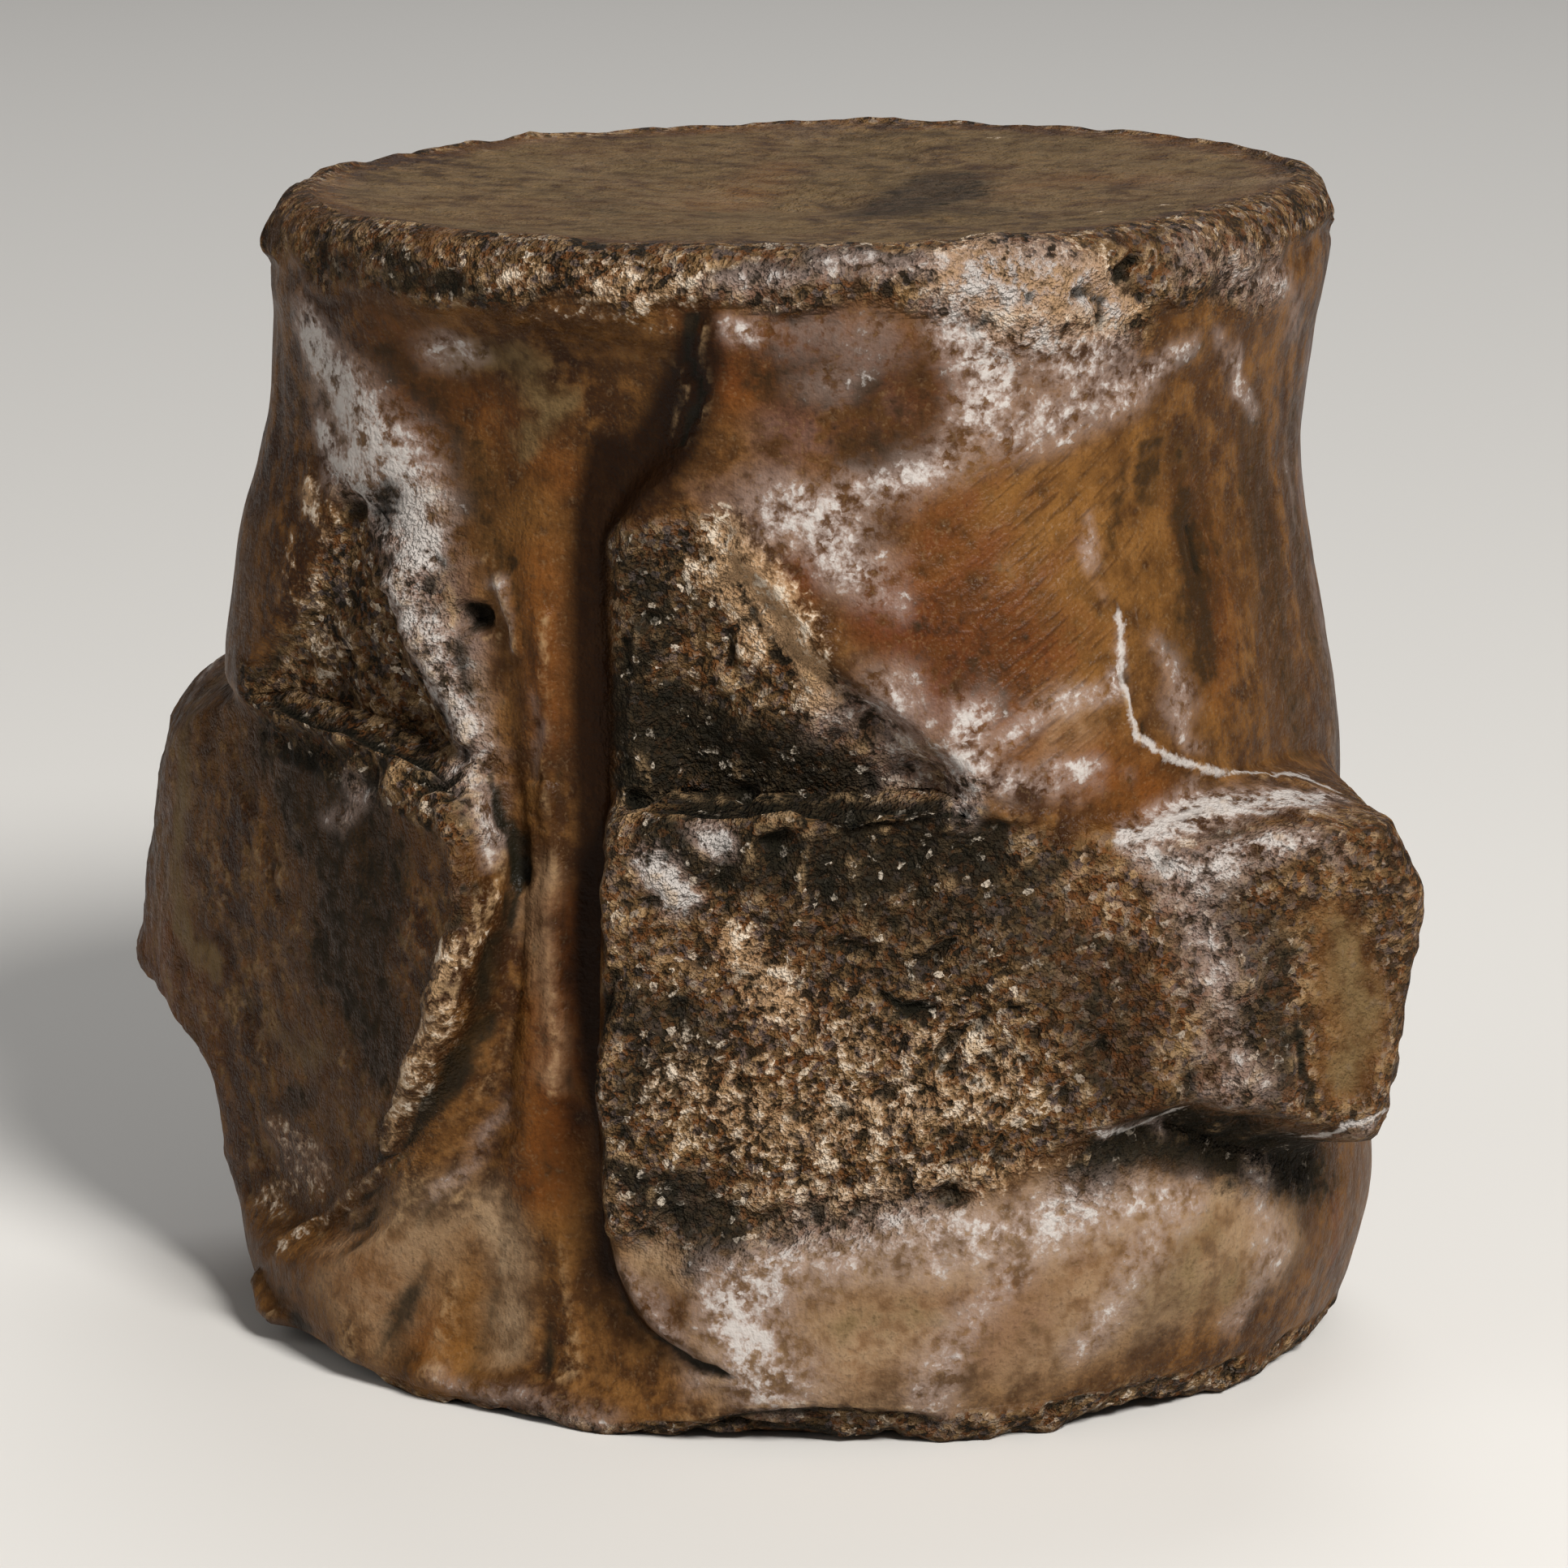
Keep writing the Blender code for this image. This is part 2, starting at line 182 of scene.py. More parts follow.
def cosd(angle):
    return np.cos(np.radians(angle))


def sind(angle):
    return np.sin(np.radians(angle))


def curve(at, points):
    """The smooth curve through (place, value) points, which doesn't overshoot them."""
    xs, ys = np.array(points, float).T
    step, slope = np.diff(xs), np.diff(ys) / np.diff(xs)
    tangent = np.zeros(len(xs))
    same = slope[:-1] * slope[1:] > 0
    tangent[1:-1][same] = 2 * (slope[:-1] * slope[1:])[same] / (slope[:-1] + slope[1:])[same]
    at = np.clip(at, xs[0], xs[-1])
    i = np.clip(np.searchsorted(xs, at, side="right") - 1, 0, len(xs) - 2)
    t = (at - xs[i]) / step[i]
    start, end = (1 + 2 * t) * (1 - t) ** 2, t * t * (3 - 2 * t)
    bend = t * (1 - t) * step[i] * ((1 - t) * tangent[i] - t * tangent[i + 1])
    return start * ys[i] + end * ys[i + 1] + bend


def by_side(az, right, left, at):
    return np.where(az >= 0, curve(at, right), curve(at, left))


def plane(az, normal_az, distance):
    """How far out a ray at azimuth az meets an upright plane."""
    return distance / np.maximum(cosd(az - normal_az), GRAZING)


def spool(az, z):
    depth = np.where(cosd(az) > 0, curve(z, DORSAL), curve(z, VENTRAL))
    n = SECTION_POWER
    r = (np.abs(sind(az) / curve(z, LATERAL)) ** n + np.abs(cosd(az) / depth) ** n) ** (-1 / n)
    return r + curve(z, BUTTRESS) * bump(np.abs(az), BUTTRESS_AZ, BUTTRESS_WIDTH)


def platform(az, z):
    """The flat roof, the end and worn faces of the rib process, and its underside."""
    aside = np.abs(az)
    roof = plane(aside, ROOF_AZ, ROOF_DISTANCE)
    end = plane(aside, END_AZ, END_DISTANCE)
    worn = plane(aside, WORN_AZ, by_side(az, WORN_RIGHT, WORN_LEFT, z))
    reach = by_side(az, REACH_RIGHT, REACH_LEFT, z)
    under = plane(aside, UNDER_AZ, reach * cosd(UNDER_AZ - TIP_AZ))
    front = soft_min(soft_min(roof, end, CREASE), worn, CREASE)
    return np.where(aside > UNDER_FROM, soft_min(front, under, TIP_SOFTNESS), front)


def platform_edges(az):
    aside = np.abs(az)
    return by_side(az, TOP_RIGHT, TOP_LEFT, aside), by_side(az, FOOT_RIGHT, FOOT_LEFT, aside)


def in_facet(az, z):
    """1 in the sunken facets above the notch."""
    top, _ = platform_edges(az)
    inside = smoothstep(FACET_LIP, FACET_SLOPE, np.abs(az) - by_side(az, FACET_RIGHT, FACET_LEFT, z))
    return inside * smoothstep(top + FACET_FROM[0], top + FACET_FROM[1], z)


def in_platform(az, z):
    """1 on the arch platforms and rib processes."""
    top, foot = platform_edges(az)
    within = smoothstep(top + TOP_EDGE[0], top + TOP_EDGE[1], z)
    within = within * smoothstep(foot + FOOT_EDGE[0], foot + FOOT_EDGE[1], z)
    return within * smoothstep(PROCESS_FADE[1], PROCESS_FADE[0], np.abs(az))


def in_canal(az, z):
    """0 at the tops of the canal's walls, 1 at their feet and on the floor."""
    sideways = CANAL_RADIUS * np.abs(sind(az))
    wall_top = by_side(az, WALL_RIGHT, WALL_LEFT, z)
    wall_foot = by_side(az, WALL_FOOT_RIGHT, WALL_FOOT_LEFT, z)
    is_open = smoothstep(*CANAL_OPENS, z) * smoothstep(*CANAL_CLOSES, z) * (np.abs(az) < CANAL_ASIDE)
    return smoothstep(0, 1, (wall_top - sideways) / (wall_top - wall_foot)) * is_open


def radius(az, z):
    aside = np.abs(az)
    sideways = CANAL_RADIUS * np.abs(sind(az))
    wall_top = by_side(az, WALL_RIGHT, WALL_LEFT, z)
    r = spool(az, z)
    margin = smoothstep(wall_top + MARGIN_FROM, wall_top + MARGIN_TO, sideways)
    r = r - curve(z, FACET_DEPTH) * in_facet(az, z) * (FACET_MARGIN + (1 - FACET_MARGIN) * margin)
    lift = platform(az, z) - r
    cut = np.minimum(lift, 0) * smoothstep(*ROOF_CUTS, aside)
    r = r + np.maximum(lift, cut) * in_platform(az, z)
    narrow = smoothstep(*RIDGE_OPENS, z) * smoothstep(*RIDGE_CLOSES, z)
    ridge = RIDGE_HEIGHT * bump(CANAL_RADIUS * sind(az), RIDGE_AT, RIDGE_WIDTH)
    ridge = ridge * (RIDGE_FLARED + (1 - RIDGE_FLARED) * narrow)
    floor = (curve(z, FLOOR) + ridge) / np.maximum(cosd(az), GRAZING)
    return r + np.minimum(floor - r, 0) * in_canal(az, z)


def unevenness(az, z):
    waves = [size * np.sin(np.radians(turns * az) + rate * z + start) for turns, rate, start, size in WAVES]
    return sum(waves)


def top_height(az):
    return LENGTH - TOP_RISE / 2 + TOP_RISE / 2 * cosd(az - TOP_HIGH_AZ)


def rim_inset(z, height):
    """How far the rounded rims draw in."""
    low = np.clip(1 - z / RIM_ROUND_BOTTOM, 0, 1)
    high = np.clip(1 - (height - z) / RIM_ROUND_TOP, 0, 1)
    return RIM_INSET_BOTTOM * (1 - np.sqrt(1 - low**2)) + RIM_INSET_TOP * (1 - np.sqrt(1 - high**2))


def spread(knots, steps):
    """Places from the first knot to the last, with steps[i] equal steps between each two."""
    places = []
    for low, high, count in zip(knots[:-1], knots[1:], steps):
        places += [low + (high - low) * i / count for i in range(count)]
    return np.array(places + [knots[-1]])


def column_places(z, side):
    """Azimuths of one side's columns at each of the heights z."""
    walls = (WALL_FOOT_RIGHT, WALL_RIGHT) if side > 0 else (WALL_FOOT_LEFT, WALL_LEFT)
    foot, top = (np.degrees(np.arcsin(curve(z, wall) / CANAL_RADIUS)) for wall in walls)
    facet = curve(z, FACET_RIGHT if side > 0 else FACET_LEFT)
    lines = [0 * z + line for line in COLUMN_LINES]
    knots = [0 * z, foot, top, facet + FACET_COLUMNS[0], facet + FACET_COLUMNS[1], *lines]
    return side * spread(knots, COLUMN_STEPS)


def row_places(az):
    """Heights of the rows at each of the azimuths az."""
    top, foot = platform_edges(az)
    high, zero = top_height(az), 0 * az
    ledges = [foot + edge for edge in FOOT_EDGE] + [top + edge for edge in PLATFORM_ROWS]
    knots = [zero, zero + RIM_ROUND_BOTTOM, *ledges, zero + WAIST_ROW, high - RIM_ROUND_TOP, high]
    return spread(knots, ROW_STEPS)


def surface_grid():
    """(azimuth, height) of every grid point, rows upwards and columns round, settled in a few rounds."""
    rows, half = sum(ROW_STEPS) + 1, sum(COLUMN_STEPS)
    z = np.repeat(np.linspace(0, LENGTH, rows)[:, None], 2 * half, axis=1)
    az = np.zeros_like(z)
    row = np.arange(rows)
    for _ in range(GRID_ROUNDS):
        for j in range(half):
            az[:, j] = column_places(z[:, j], 1)[j]
            az[:, half + j] = column_places(z[:, half + j], -1)[half - j]
        for j in range(2 * half):
            z[:, j] = row_places(az[:, j])[row, row]
    return az, z


def top_ring(rim, scale):
    ring = rim * scale
    ring[:, 2] = rim[:, 2] * scale + LENGTH * (1 - scale) - TOP_DISH * (1 - scale**2)
    return ring


def base_ring(rim, scale):
    ring = rim * scale
    ring[:, 2] = BASE_HOLLOW * (1 - min(1, scale / BASE_FLAT_FROM) ** 2)
    return ring


def hashed(i, j, k, seed):
    """A repeatable number from 0 to 1 for each lattice point."""
    n = (i * 374761393 + j * 668265263 + k * 974634777 + seed * 1274126177) & 0xFFFFFFFF
    n = ((n ^ (n >> 13)) * 1274126177) & 0xFFFFFFFF
    return ((n ^ (n >> 16)) & 0xFFFFFF) / 0xFFFFFF


def noise(p, size, seed):
    """Smooth noise from -1 to 1 with features of that size."""
    q = p / size
    cell = np.floor(q).astype(np.int64)
    t = q - cell
    t = t * t * (3 - 2 * t)
    total = 0
    for corner in np.ndindex(2, 2, 2):
        weight = np.prod(np.where(corner, t, 1 - t), axis=-1)
        total = total + weight * hashed(*(cell + corner).T, seed)
    return 2 * total - 1


def rough(p, size, seed, octaves=4, gain=0.5):
    """Noise with finer noise on it, about -1 to 1."""
    total = sum(gain**i * noise(p, size / 2**i, seed + i) for i in range(octaves))
    return total / sum(gain**i for i in range(octaves)) * 1.4


# The fine surface without its relief
AZ, Z = surface_grid()
SIDES = radius(AZ, Z) - rim_inset(Z, top_height(AZ)) + unevenness(AZ, Z)
SIDES = np.stack([SIDES * sind(AZ), -SIDES * cosd(AZ), Z], axis=-1)
BASE_SCALES = BASE_RINGS[::-1]
BASE = [base_ring(SIDES[0], scale) for scale in BASE_SCALES]
TOP = [top_ring(SIDES[-1], scale) for scale in TOP_RINGS]
ROWS = np.concatenate([BASE, SIDES, TOP])
MIDDLE = (ROWS.reshape(-1, 3).min(axis=0) + ROWS.reshape(-1, 3).max(axis=0)) / 2
MIDDLE = np.array([MIDDLE[0], MIDDLE[1], 0])
ROWS -= MIDDLE
SHAPE = ROWS.shape[:2]
FIRST_SIDE, LAST_SIDE = len(BASE), len(BASE) + len(SIDES)


def outward(rows):
    """Normals of the grid."""
    along = np.roll(rows, -1, axis=1) - np.roll(rows, 1, axis=1)
    up = np.gradient(rows, axis=0)
    normal = np.cross(along, up)
    return normal / np.maximum(np.linalg.norm(normal, axis=-1, keepdims=True), 1e-9)


NORMAL = outward(ROWS)
P = ROWS.reshape(-1, 3)

# The camera's place
TO_CAMERA = np.array([sind(VIEW_AZ) * cosd(VIEW_EL), -cosd(VIEW_AZ) * cosd(VIEW_EL), sind(VIEW_EL)])
CAMERA_RIGHT = np.array([cosd(VIEW_AZ), sind(VIEW_AZ), 0.0])
CAMERA_UP = np.cross(TO_CAMERA, CAMERA_RIGHT)
TARGET = np.array([-MIDDLE[0], -MIDDLE[1], TARGET_HEIGHT]) - CAMERA_RIGHT * TARGET_LEFT
CAMERA_AT = TARGET + TO_CAMERA * CAMERA_DISTANCE
FOCAL_PX = PX_PER_MM * CAMERA_DISTANCE

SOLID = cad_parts["centrum"].data
SOLID_TREE = BVHTree.FromPolygons(
    [vertex.co / METRES_PER_MM for vertex in SOLID.vertices],
    [tuple(face.vertices) for face in SOLID.polygons],
)


def seen(x, y):
    """The point of the solid that shows at pixel (x, y), or just inside its outline from there."""
    half = IMAGE_SIDE / 2
    for inward in INWARD_STEPS:
        across, down = (x - half) * (1 - inward), (y - half) * (1 - inward)
        ray = CAMERA_RIGHT * across / FOCAL_PX - CAMERA_UP * down / FOCAL_PX - TO_CAMERA
        hit = SOLID_TREE.ray_cast(Vector(CAMERA_AT), Vector(ray).normalized())[0]
        if hit is not None:
            return np.array(hit)
    raise ValueError(f"the solid doesn't show near pixel {x}, {y}")


def far_place(az, z):
    """The point of the surface at an azimuth and height, for marks on the far side."""
    r = float(radius(np.array(az, float), np.array(z, float)))
    return np.array([r * sind(az), -r * cosd(az), z]) - MIDDLE


def near(p, path, place=seen, per_mm=PX_PER_MM):
    """1 on a path through (x, y, radius) places, falling to 0 at its radius."""
    centres = [place(x, y) for x, y, _ in path]
    radii = [r / per_mm for _, _, r in path]
    if len(path) == 1:
        centres, radii = centres * 2, radii * 2
    best = np.zeros(len(p))
    for a, b, ra, rb in zip(centres[:-1], centres[1:], radii[:-1], radii[1:]):
        along = b - a
        t = np.clip((p - a) @ along / max(along @ along, 1e-9), 0, 1)
        distance = np.linalg.norm(p - (a + t[:, None] * along), axis=-1)
        best = np.maximum(best, 1 - distance / (ra + (rb - ra) * t))
    return best


# Marks of the photographed side, read from the photograph. Each stroke is its strength and then, for
# each place on its path, x, y and radius in pixels.
CHALK_AND_SHEEN = (
    (1.1, 398, 540, 50, 440, 600, 60, 474, 660, 50), (0.6, 1460, 320, 50, 1550, 340, 60, 1600, 390, 50),
    (1.15, 376, 400, 60, 436, 500, 110, 476, 575, 124, 512, 645, 88, 532, 700, 56),
    (1.0, 500, 700, 66, 534, 790, 76, 570, 890, 66, 598, 975, 54, 606, 1050, 30),
    (0.84, 950, 630, 76, 1010, 650, 96, 1060, 700, 76), (0.78, 1030, 610, 66, 1095, 600, 66, 1150, 568, 46),
    (0.58, 1060, 710, 76, 1110, 740, 46),
    (0.72, 1132, 572, 60, 1220, 525, 74, 1348, 490, 70, 1412, 456, 50, 1470, 426, 36),
    (0.95, 1185, 395, 70, 1220, 450, 80, 1200, 520, 66), (0.9, 1270, 410, 70, 1330, 450, 70, 1390, 430, 50),
    (0.7, 1384, 856, 30, 1300, 870, 40, 1246, 904, 50), (0.7, 1396, 956, 26, 1300, 962, 38, 1230, 968, 50),
    (0.9, 1200, 880, 60, 1200, 945, 76, 1178, 990, 46), (0.6, 1430, 800, 34, 1450, 860, 50, 1480, 900, 36),
    (0.7, 1040, 880, 80, 1110, 860, 80, 1120, 940, 76), (0.65, 1346, 650, 24, 1356, 740, 28),
    # The second stroke here, along the right outline, is partly painted sheen and partly mineral film
    (0.9, 1378, 765, 20, 1383, 850, 20), (0.4, 1585, 560, 24, 1596, 640, 24),
    (1.25, 1400, 1036, 40, 1490, 1004, 60, 1590, 985, 60, 1646, 980, 36),
    (0.95, 1430, 1056, 50, 1470, 1090, 56, 1560, 1040, 50, 1616, 1040, 40),
    (0.7, 1600, 990, 34, 1640, 1060, 34), (1.4, 806, 1060, 34, 832, 1104, 42),
    (1.3, 868, 1020, 34, 900, 1026, 28), (0.66, 1500, 1290, 50, 1550, 1330, 50, 1490, 1350, 44),
    (0.66, 1450, 1100, 50, 1490, 1180, 60, 1500, 1250, 50),
    (0.95, 960, 1560, 70, 900, 1610, 100, 960, 1700, 100),
    (0.8, 1020, 1530, 90, 1180, 1520, 80, 1320, 1500, 70, 1450, 1470, 60),
    (0.65, 1260, 1540, 60, 1200, 1620, 60, 1150, 1720, 70),
    (0.6, 1430, 1500, 70, 1385, 1590, 60, 1340, 1660, 50),
    (0.6, 1545, 1450, 60, 1560, 1540, 60, 1520, 1620, 50),
    (0.5, 540, 1700, 36, 640, 1725, 36, 740, 1745, 34), (0.7, 775, 1560, 30, 800, 1620, 40, 850, 1690, 40),
    (0.75, 530, 430, 44, 580, 440, 34), (0.95, 905, 402, 34, 940, 408, 28),
    (0.4, 960, 400, 60, 1080, 420, 70, 1000, 470, 50), (0.85, 606, 680, 22, 625, 730, 26, 637, 800, 18),
    (0.45, 655, 850, 20, 664, 960, 20), (0.6, 545, 1480, 30, 585, 1410, 30, 618, 1345, 20),
    (0.75, 1610, 1396, 18, 1690, 1376, 18), (0.75, 1355, 1392, 16, 1430, 1378, 20),
    (0.65, 1500, 410, 30, 1545, 500, 32), (0.6, 420, 950, 30, 450, 990, 34, 400, 1000, 30),
    (0.35, 345, 1400, 70, 400, 1440, 60), (0.7, 1500, 330, 50, 1560, 330, 56, 1590, 390, 40),
    (0.9, 1200, 340, 60, 1300, 330, 60, 1370, 370, 50),
    (0.75, 870, 352, 34, 960, 340, 36, 1080, 330, 36, 1160, 325, 36),
)
PALE = (
    (0.9, 820, 1540, 80, 1000, 1545, 120, 1200, 1530, 110, 1400, 1500, 110, 1580, 1450, 90),
    (0.85, 900, 1660, 110, 1100, 1660, 140, 1250, 1640, 140, 1420, 1580, 130, 1560, 1520, 110),
    (0.7, 560, 1480, 70, 500, 1540, 100, 470, 1620, 90), (0.6, 430, 1530, 70, 410, 1590, 70),
    (0.9, 612, 1480, 50, 620, 1560, 60, 612, 1640, 50), (0.5, 660, 1080, 40, 668, 1200, 40, 680, 1330, 40),
    (0.45, 1300, 880, 60, 1330, 910, 60), (0.45, 760, 1010, 60, 780, 1080, 60),
    (0.75, 392, 450, 50, 450, 560, 80, 505, 650, 70, 560, 800, 50, 590, 960, 40),
)
GOLD = (
    (1.0, 1230, 600, 110, 1330, 640, 130, 1350, 760, 120, 1330, 880, 90),
    (0.75, 1400, 510, 70, 1430, 760, 70, 1500, 860, 80), (0.8, 1260, 900, 60, 1340, 930, 60, 1420, 990, 50),
    (0.6, 640, 640, 90, 640, 760, 60), (1.0, 430, 1540, 100, 500, 1600, 130, 560, 1660, 120),
    (0.6, 1040, 1640, 90, 1200, 1620, 110, 1330, 1580, 90),
    (0.8, 1380, 1540, 100, 1480, 1500, 100, 1560, 1480, 80, 1500, 1600, 80),
    (0.7, 900, 1380, 110, 1050, 1400, 110, 1200, 1350, 100),
    (0.7, 870, 250, 80, 930, 225, 90, 960, 205, 70), (0.6, 1240, 240, 70, 1330, 225, 80, 1440, 220, 70),
    (0.6, 640, 1370, 50, 680, 1440, 60, 690, 1500, 60),
)
CREAM = (
    (1.2, 1190, 335, 76, 1250, 360, 90, 1330, 345, 80, 1390, 380, 60),
    (0.85, 1225, 400, 64, 1300, 410, 60, 1370, 410, 50),
    (1.35, 905, 680, 50, 945, 740, 66, 985, 790, 60, 1010, 860, 50), (1.0, 880, 700, 44, 925, 790, 50),
    (1.1, 900, 660, 56, 960, 735, 66, 1010, 820, 50), (1.2, 386, 600, 32, 405, 634, 38),
    (0.75, 592, 1105, 36, 566, 1180, 50, 536, 1270, 52, 508, 1340, 44, 478, 1412, 30),
    (0.65, 930, 1480, 36, 1040, 1465, 46, 1180, 1445, 46, 1310, 1425, 36),
    (0.9, 900, 1170, 64, 960, 1240, 70), (0.5, 330, 1552, 24, 400, 1504, 26, 474, 1450, 20),
    (0.6, 1460, 1030, 44, 1560, 995, 46, 1630, 1000, 40), (0.65, 640, 350, 60, 740, 356, 60, 850, 356, 60),
    (0.72, 840, 1330, 110, 960, 1390, 110, 1080, 1380, 110, 1230, 1330, 90),
    (0.6, 1040, 1280, 80, 1180, 1290, 80), (0.55, 350, 1390, 60, 400, 1440, 60, 330, 1480, 50),
    (0.55, 360, 690, 60, 420, 780, 60, 400, 840, 40),
)
AMBER = (
    (1.0, 1110, 740, 90, 1180, 780, 120, 1250, 800, 110),
    (0.8, 1220, 860, 90, 1330, 940, 80, 1420, 980, 70), (0.6, 1150, 640, 70, 1200, 700, 90),
    (0.5, 1470, 620, 70, 1500, 740, 80, 1500, 840, 70), (0.9, 990, 720, 44, 985, 700, 34),
    (0.8, 870, 440, 60, 900, 480, 60, 960, 420, 60), (0.9, 690, 1120, 70, 690, 1300, 70, 670, 1450, 80),
    (0.7, 420, 1530, 80, 480, 1580, 90, 520, 1640, 80), (0.6, 660, 700, 70, 680, 900, 60),
    (0.8, 770, 1020, 34, 780, 1070, 36),
    (0.6, 1060, 1680, 80, 1150, 1620, 100, 1280, 1620, 100, 1330, 1570, 80),
    (0.8, 900, 1170, 80, 980, 1270, 90, 900, 1350, 80), (0.5, 700, 590, 60, 600, 500, 60, 520, 500, 50),
    (1.0, 1330, 1130, 100, 1400, 1240, 100, 1380, 1310, 80), (0.8, 990, 1140, 60, 1040, 1150, 50),
)
RED = (
    (0.9, 1080, 760, 60, 1170, 800, 80, 1160, 860, 70),
    (0.9, 1010, 440, 90, 1120, 470, 100, 1060, 530, 80, 980, 520, 70), (0.8, 1060, 900, 110, 1140, 950, 80),
    (0.5, 1330, 780, 60, 1250, 830, 70), (0.8, 988, 712, 34), (0.5, 1270, 1620, 70, 1200, 1660, 70),
    (0.6, 1130, 690, 26, 1190, 620, 30, 1250, 560, 22), (0.6, 1160, 740, 26, 1220, 670, 30, 1290, 600, 22),
    (0.5, 1200, 790, 24, 1270, 720, 28, 1330, 660, 20), (0.8, 1640, 1480, 24, 1640, 1560, 24),
    (0.6, 870, 1545, 20, 900, 1560, 24), (0.6, 480, 400, 60, 500, 480, 60, 520, 560, 50),
    (0.5, 860, 400, 60, 900, 440, 60),
)
# Dark stains and cracks, with painted shade: the wedge under the rib process and the darkening towards the
# right outline
DARK_STAINS_AND_SHADE = (
    (1.0, 770, 965, 40, 900, 985, 44, 1050, 1002, 40, 1190, 1004, 24),
    (0.85, 765, 890, 80, 860, 910, 90, 960, 935, 80, 1070, 975, 40),
    (0.8, 820, 1035, 50, 960, 1050, 66, 1080, 1065, 66, 1200, 1040, 50),
    (0.45, 1000, 1130, 90, 1130, 1150, 110, 1250, 1120, 80),
    (0.55, 1270, 1140, 80, 1360, 1220, 90, 1380, 1320, 70), (0.4, 800, 690, 60, 850, 750, 60),
    (0.6, 760, 1240, 50, 860, 1280, 60, 780, 1340, 50), (0.7, 770, 840, 34, 800, 780, 44, 790, 700, 34),
    (0.6, 1020, 1110, 40, 1120, 1130, 40, 1240, 1090, 40, 1320, 1060, 30),
    (0.9, 305, 852, 14, 400, 880, 20, 480, 925, 18, 552, 948, 14), (1.0, 583, 762, 30),
    (1.0, 1085, 1225, 14, 1110, 1240, 16, 1148, 1240, 10),
    (0.8, 760, 1450, 26, 820, 1490, 50, 900, 1520, 40, 860, 1570, 24),
    (0.9, 605, 960, 16, 625, 1010, 22, 640, 1080, 18), (0.8, 560, 950, 16, 590, 1040, 18, 570, 1090, 18),
    (0.9, 805, 1650, 10, 845, 1680, 13, 888, 1694, 8), (0.7, 1414, 550, 30, 1408, 620, 30),
    (0.8, 1462, 620, 40, 1476, 710, 50, 1480, 810, 40), (0.7, 1380, 560, 16, 1375, 660, 16),
    (0.8, 1480, 425, 28, 1450, 450, 18), (0.7, 1040, 545, 50, 1100, 555, 54),
    (0.6, 960, 450, 60, 1060, 470, 60), (1.0, 1385, 335, 20, 1400, 318, 14),
    (0.72, 1095, 264, 90, 1130, 246, 120, 1170, 222, 80), (0.5, 1070, 262, 80, 1200, 260, 80),
    (0.35, 760, 262, 60, 720, 245, 60), (0.3, 1270, 185, 50, 1330, 180, 50),
    (0.7, 495, 460, 30, 520, 500, 28, 470, 440, 24), (0.7, 560, 620, 22, 545, 660, 26, 500, 590, 20),
    (0.8, 1605, 1270, 12, 1608, 1330, 16, 1625, 1360, 16),
    (0.7, 1738, 1150, 12, 1745, 1200, 12, 1735, 1250, 12),
    # Painted shade: the first stroke below is the dark wedge under the rib process
    (1.2, 1370, 1412, 30, 1480, 1400, 60, 1600, 1404, 46), (0.7, 420, 330, 30, 520, 340, 34, 600, 360, 24),
    (0.8, 880, 340, 20, 980, 330, 22, 1080, 320, 20, 1130, 315, 14), (0.7, 760, 1600, 14, 790, 1650, 14),
    (0.6, 330, 1360, 24, 390, 1340, 26), (0.4, 500, 1380, 20, 560, 1320, 24, 600, 1270, 20),
    (0.85, 370, 980, 110, 450, 1060, 130, 430, 1180, 130, 460, 1260, 100),
    (0.6, 330, 920, 70, 420, 950, 70), (0.5, 1460, 560, 60, 1490, 700, 70, 1460, 800, 60),
    # Painted shade: darker towards the right outline, this stroke and the next
    (0.55, 1540, 500, 60, 1560, 650, 70, 1575, 800, 70, 1600, 900, 50),
    (0.45, 1625, 500, 60, 1640, 700, 60, 1650, 900, 60),
    (0.6, 490, 430, 40, 540, 520, 50, 590, 600, 50, 620, 690, 34),
    (0.5, 1490, 1110, 50, 1540, 1200, 70, 1560, 1330, 60),
    (0.6, 1560, 1140, 26, 1580, 1230, 30, 1590, 1330, 30),
    (0.45, 790, 1470, 50, 850, 1510, 70, 900, 1540, 50), (0.45, 1180, 780, 80, 1240, 830, 60),
    (0.5, 1000, 450, 90, 1110, 480, 90), (0.6, 330, 1590, 16, 360, 1600, 16),
    (0.5, 1480, 1330, 16, 1420, 1360, 16), (0.6, 250, 860, 16, 300, 870, 16),
    (0.6, 1570, 1430, 20, 1640, 1440, 24, 1600, 1500, 20),
)
# Painted shade: the canal's right wall, which faces away from the key light, and the pocket at the canal's
# upper end
CANAL_SHADE = (
    (1.0, 752, 570, 60, 738, 650, 56, 735, 900, 52, 735, 1200, 52, 738, 1450, 52, 752, 1560, 44),
    (0.8, 752, 1560, 40, 810, 1650, 20), (1.0, 860, 440, 56, 824, 540, 84, 770, 610, 76, 742, 690, 56),
    (0.7, 868, 395, 34, 868, 450, 50),
)
TAN = (
    (0.9, 1655, 1160, 60, 1680, 1250, 62, 1660, 1320, 50),
    (0.9, 240, 900, 50, 225, 1020, 44, 220, 1130, 44, 260, 1200, 50),
    (0.6, 300, 1250, 50, 400, 1300, 50, 450, 1260, 40),
    (0.8, 560, 440, 40, 640, 450, 60, 690, 500, 50, 640, 540, 40),
    (0.6, 850, 1330, 60, 960, 1400, 70, 1100, 1390, 60, 1200, 1330, 60),
    (0.5, 1040, 1640, 40, 1150, 1620, 50), (0.6, 1480, 1520, 60, 1400, 1600, 60, 1540, 1570, 50),
    (0.6, 370, 430, 20, 365, 520, 20), (0.6, 400, 740, 60, 380, 800, 50),
    (0.5, 1440, 1290, 30, 1540, 1310, 34),
)
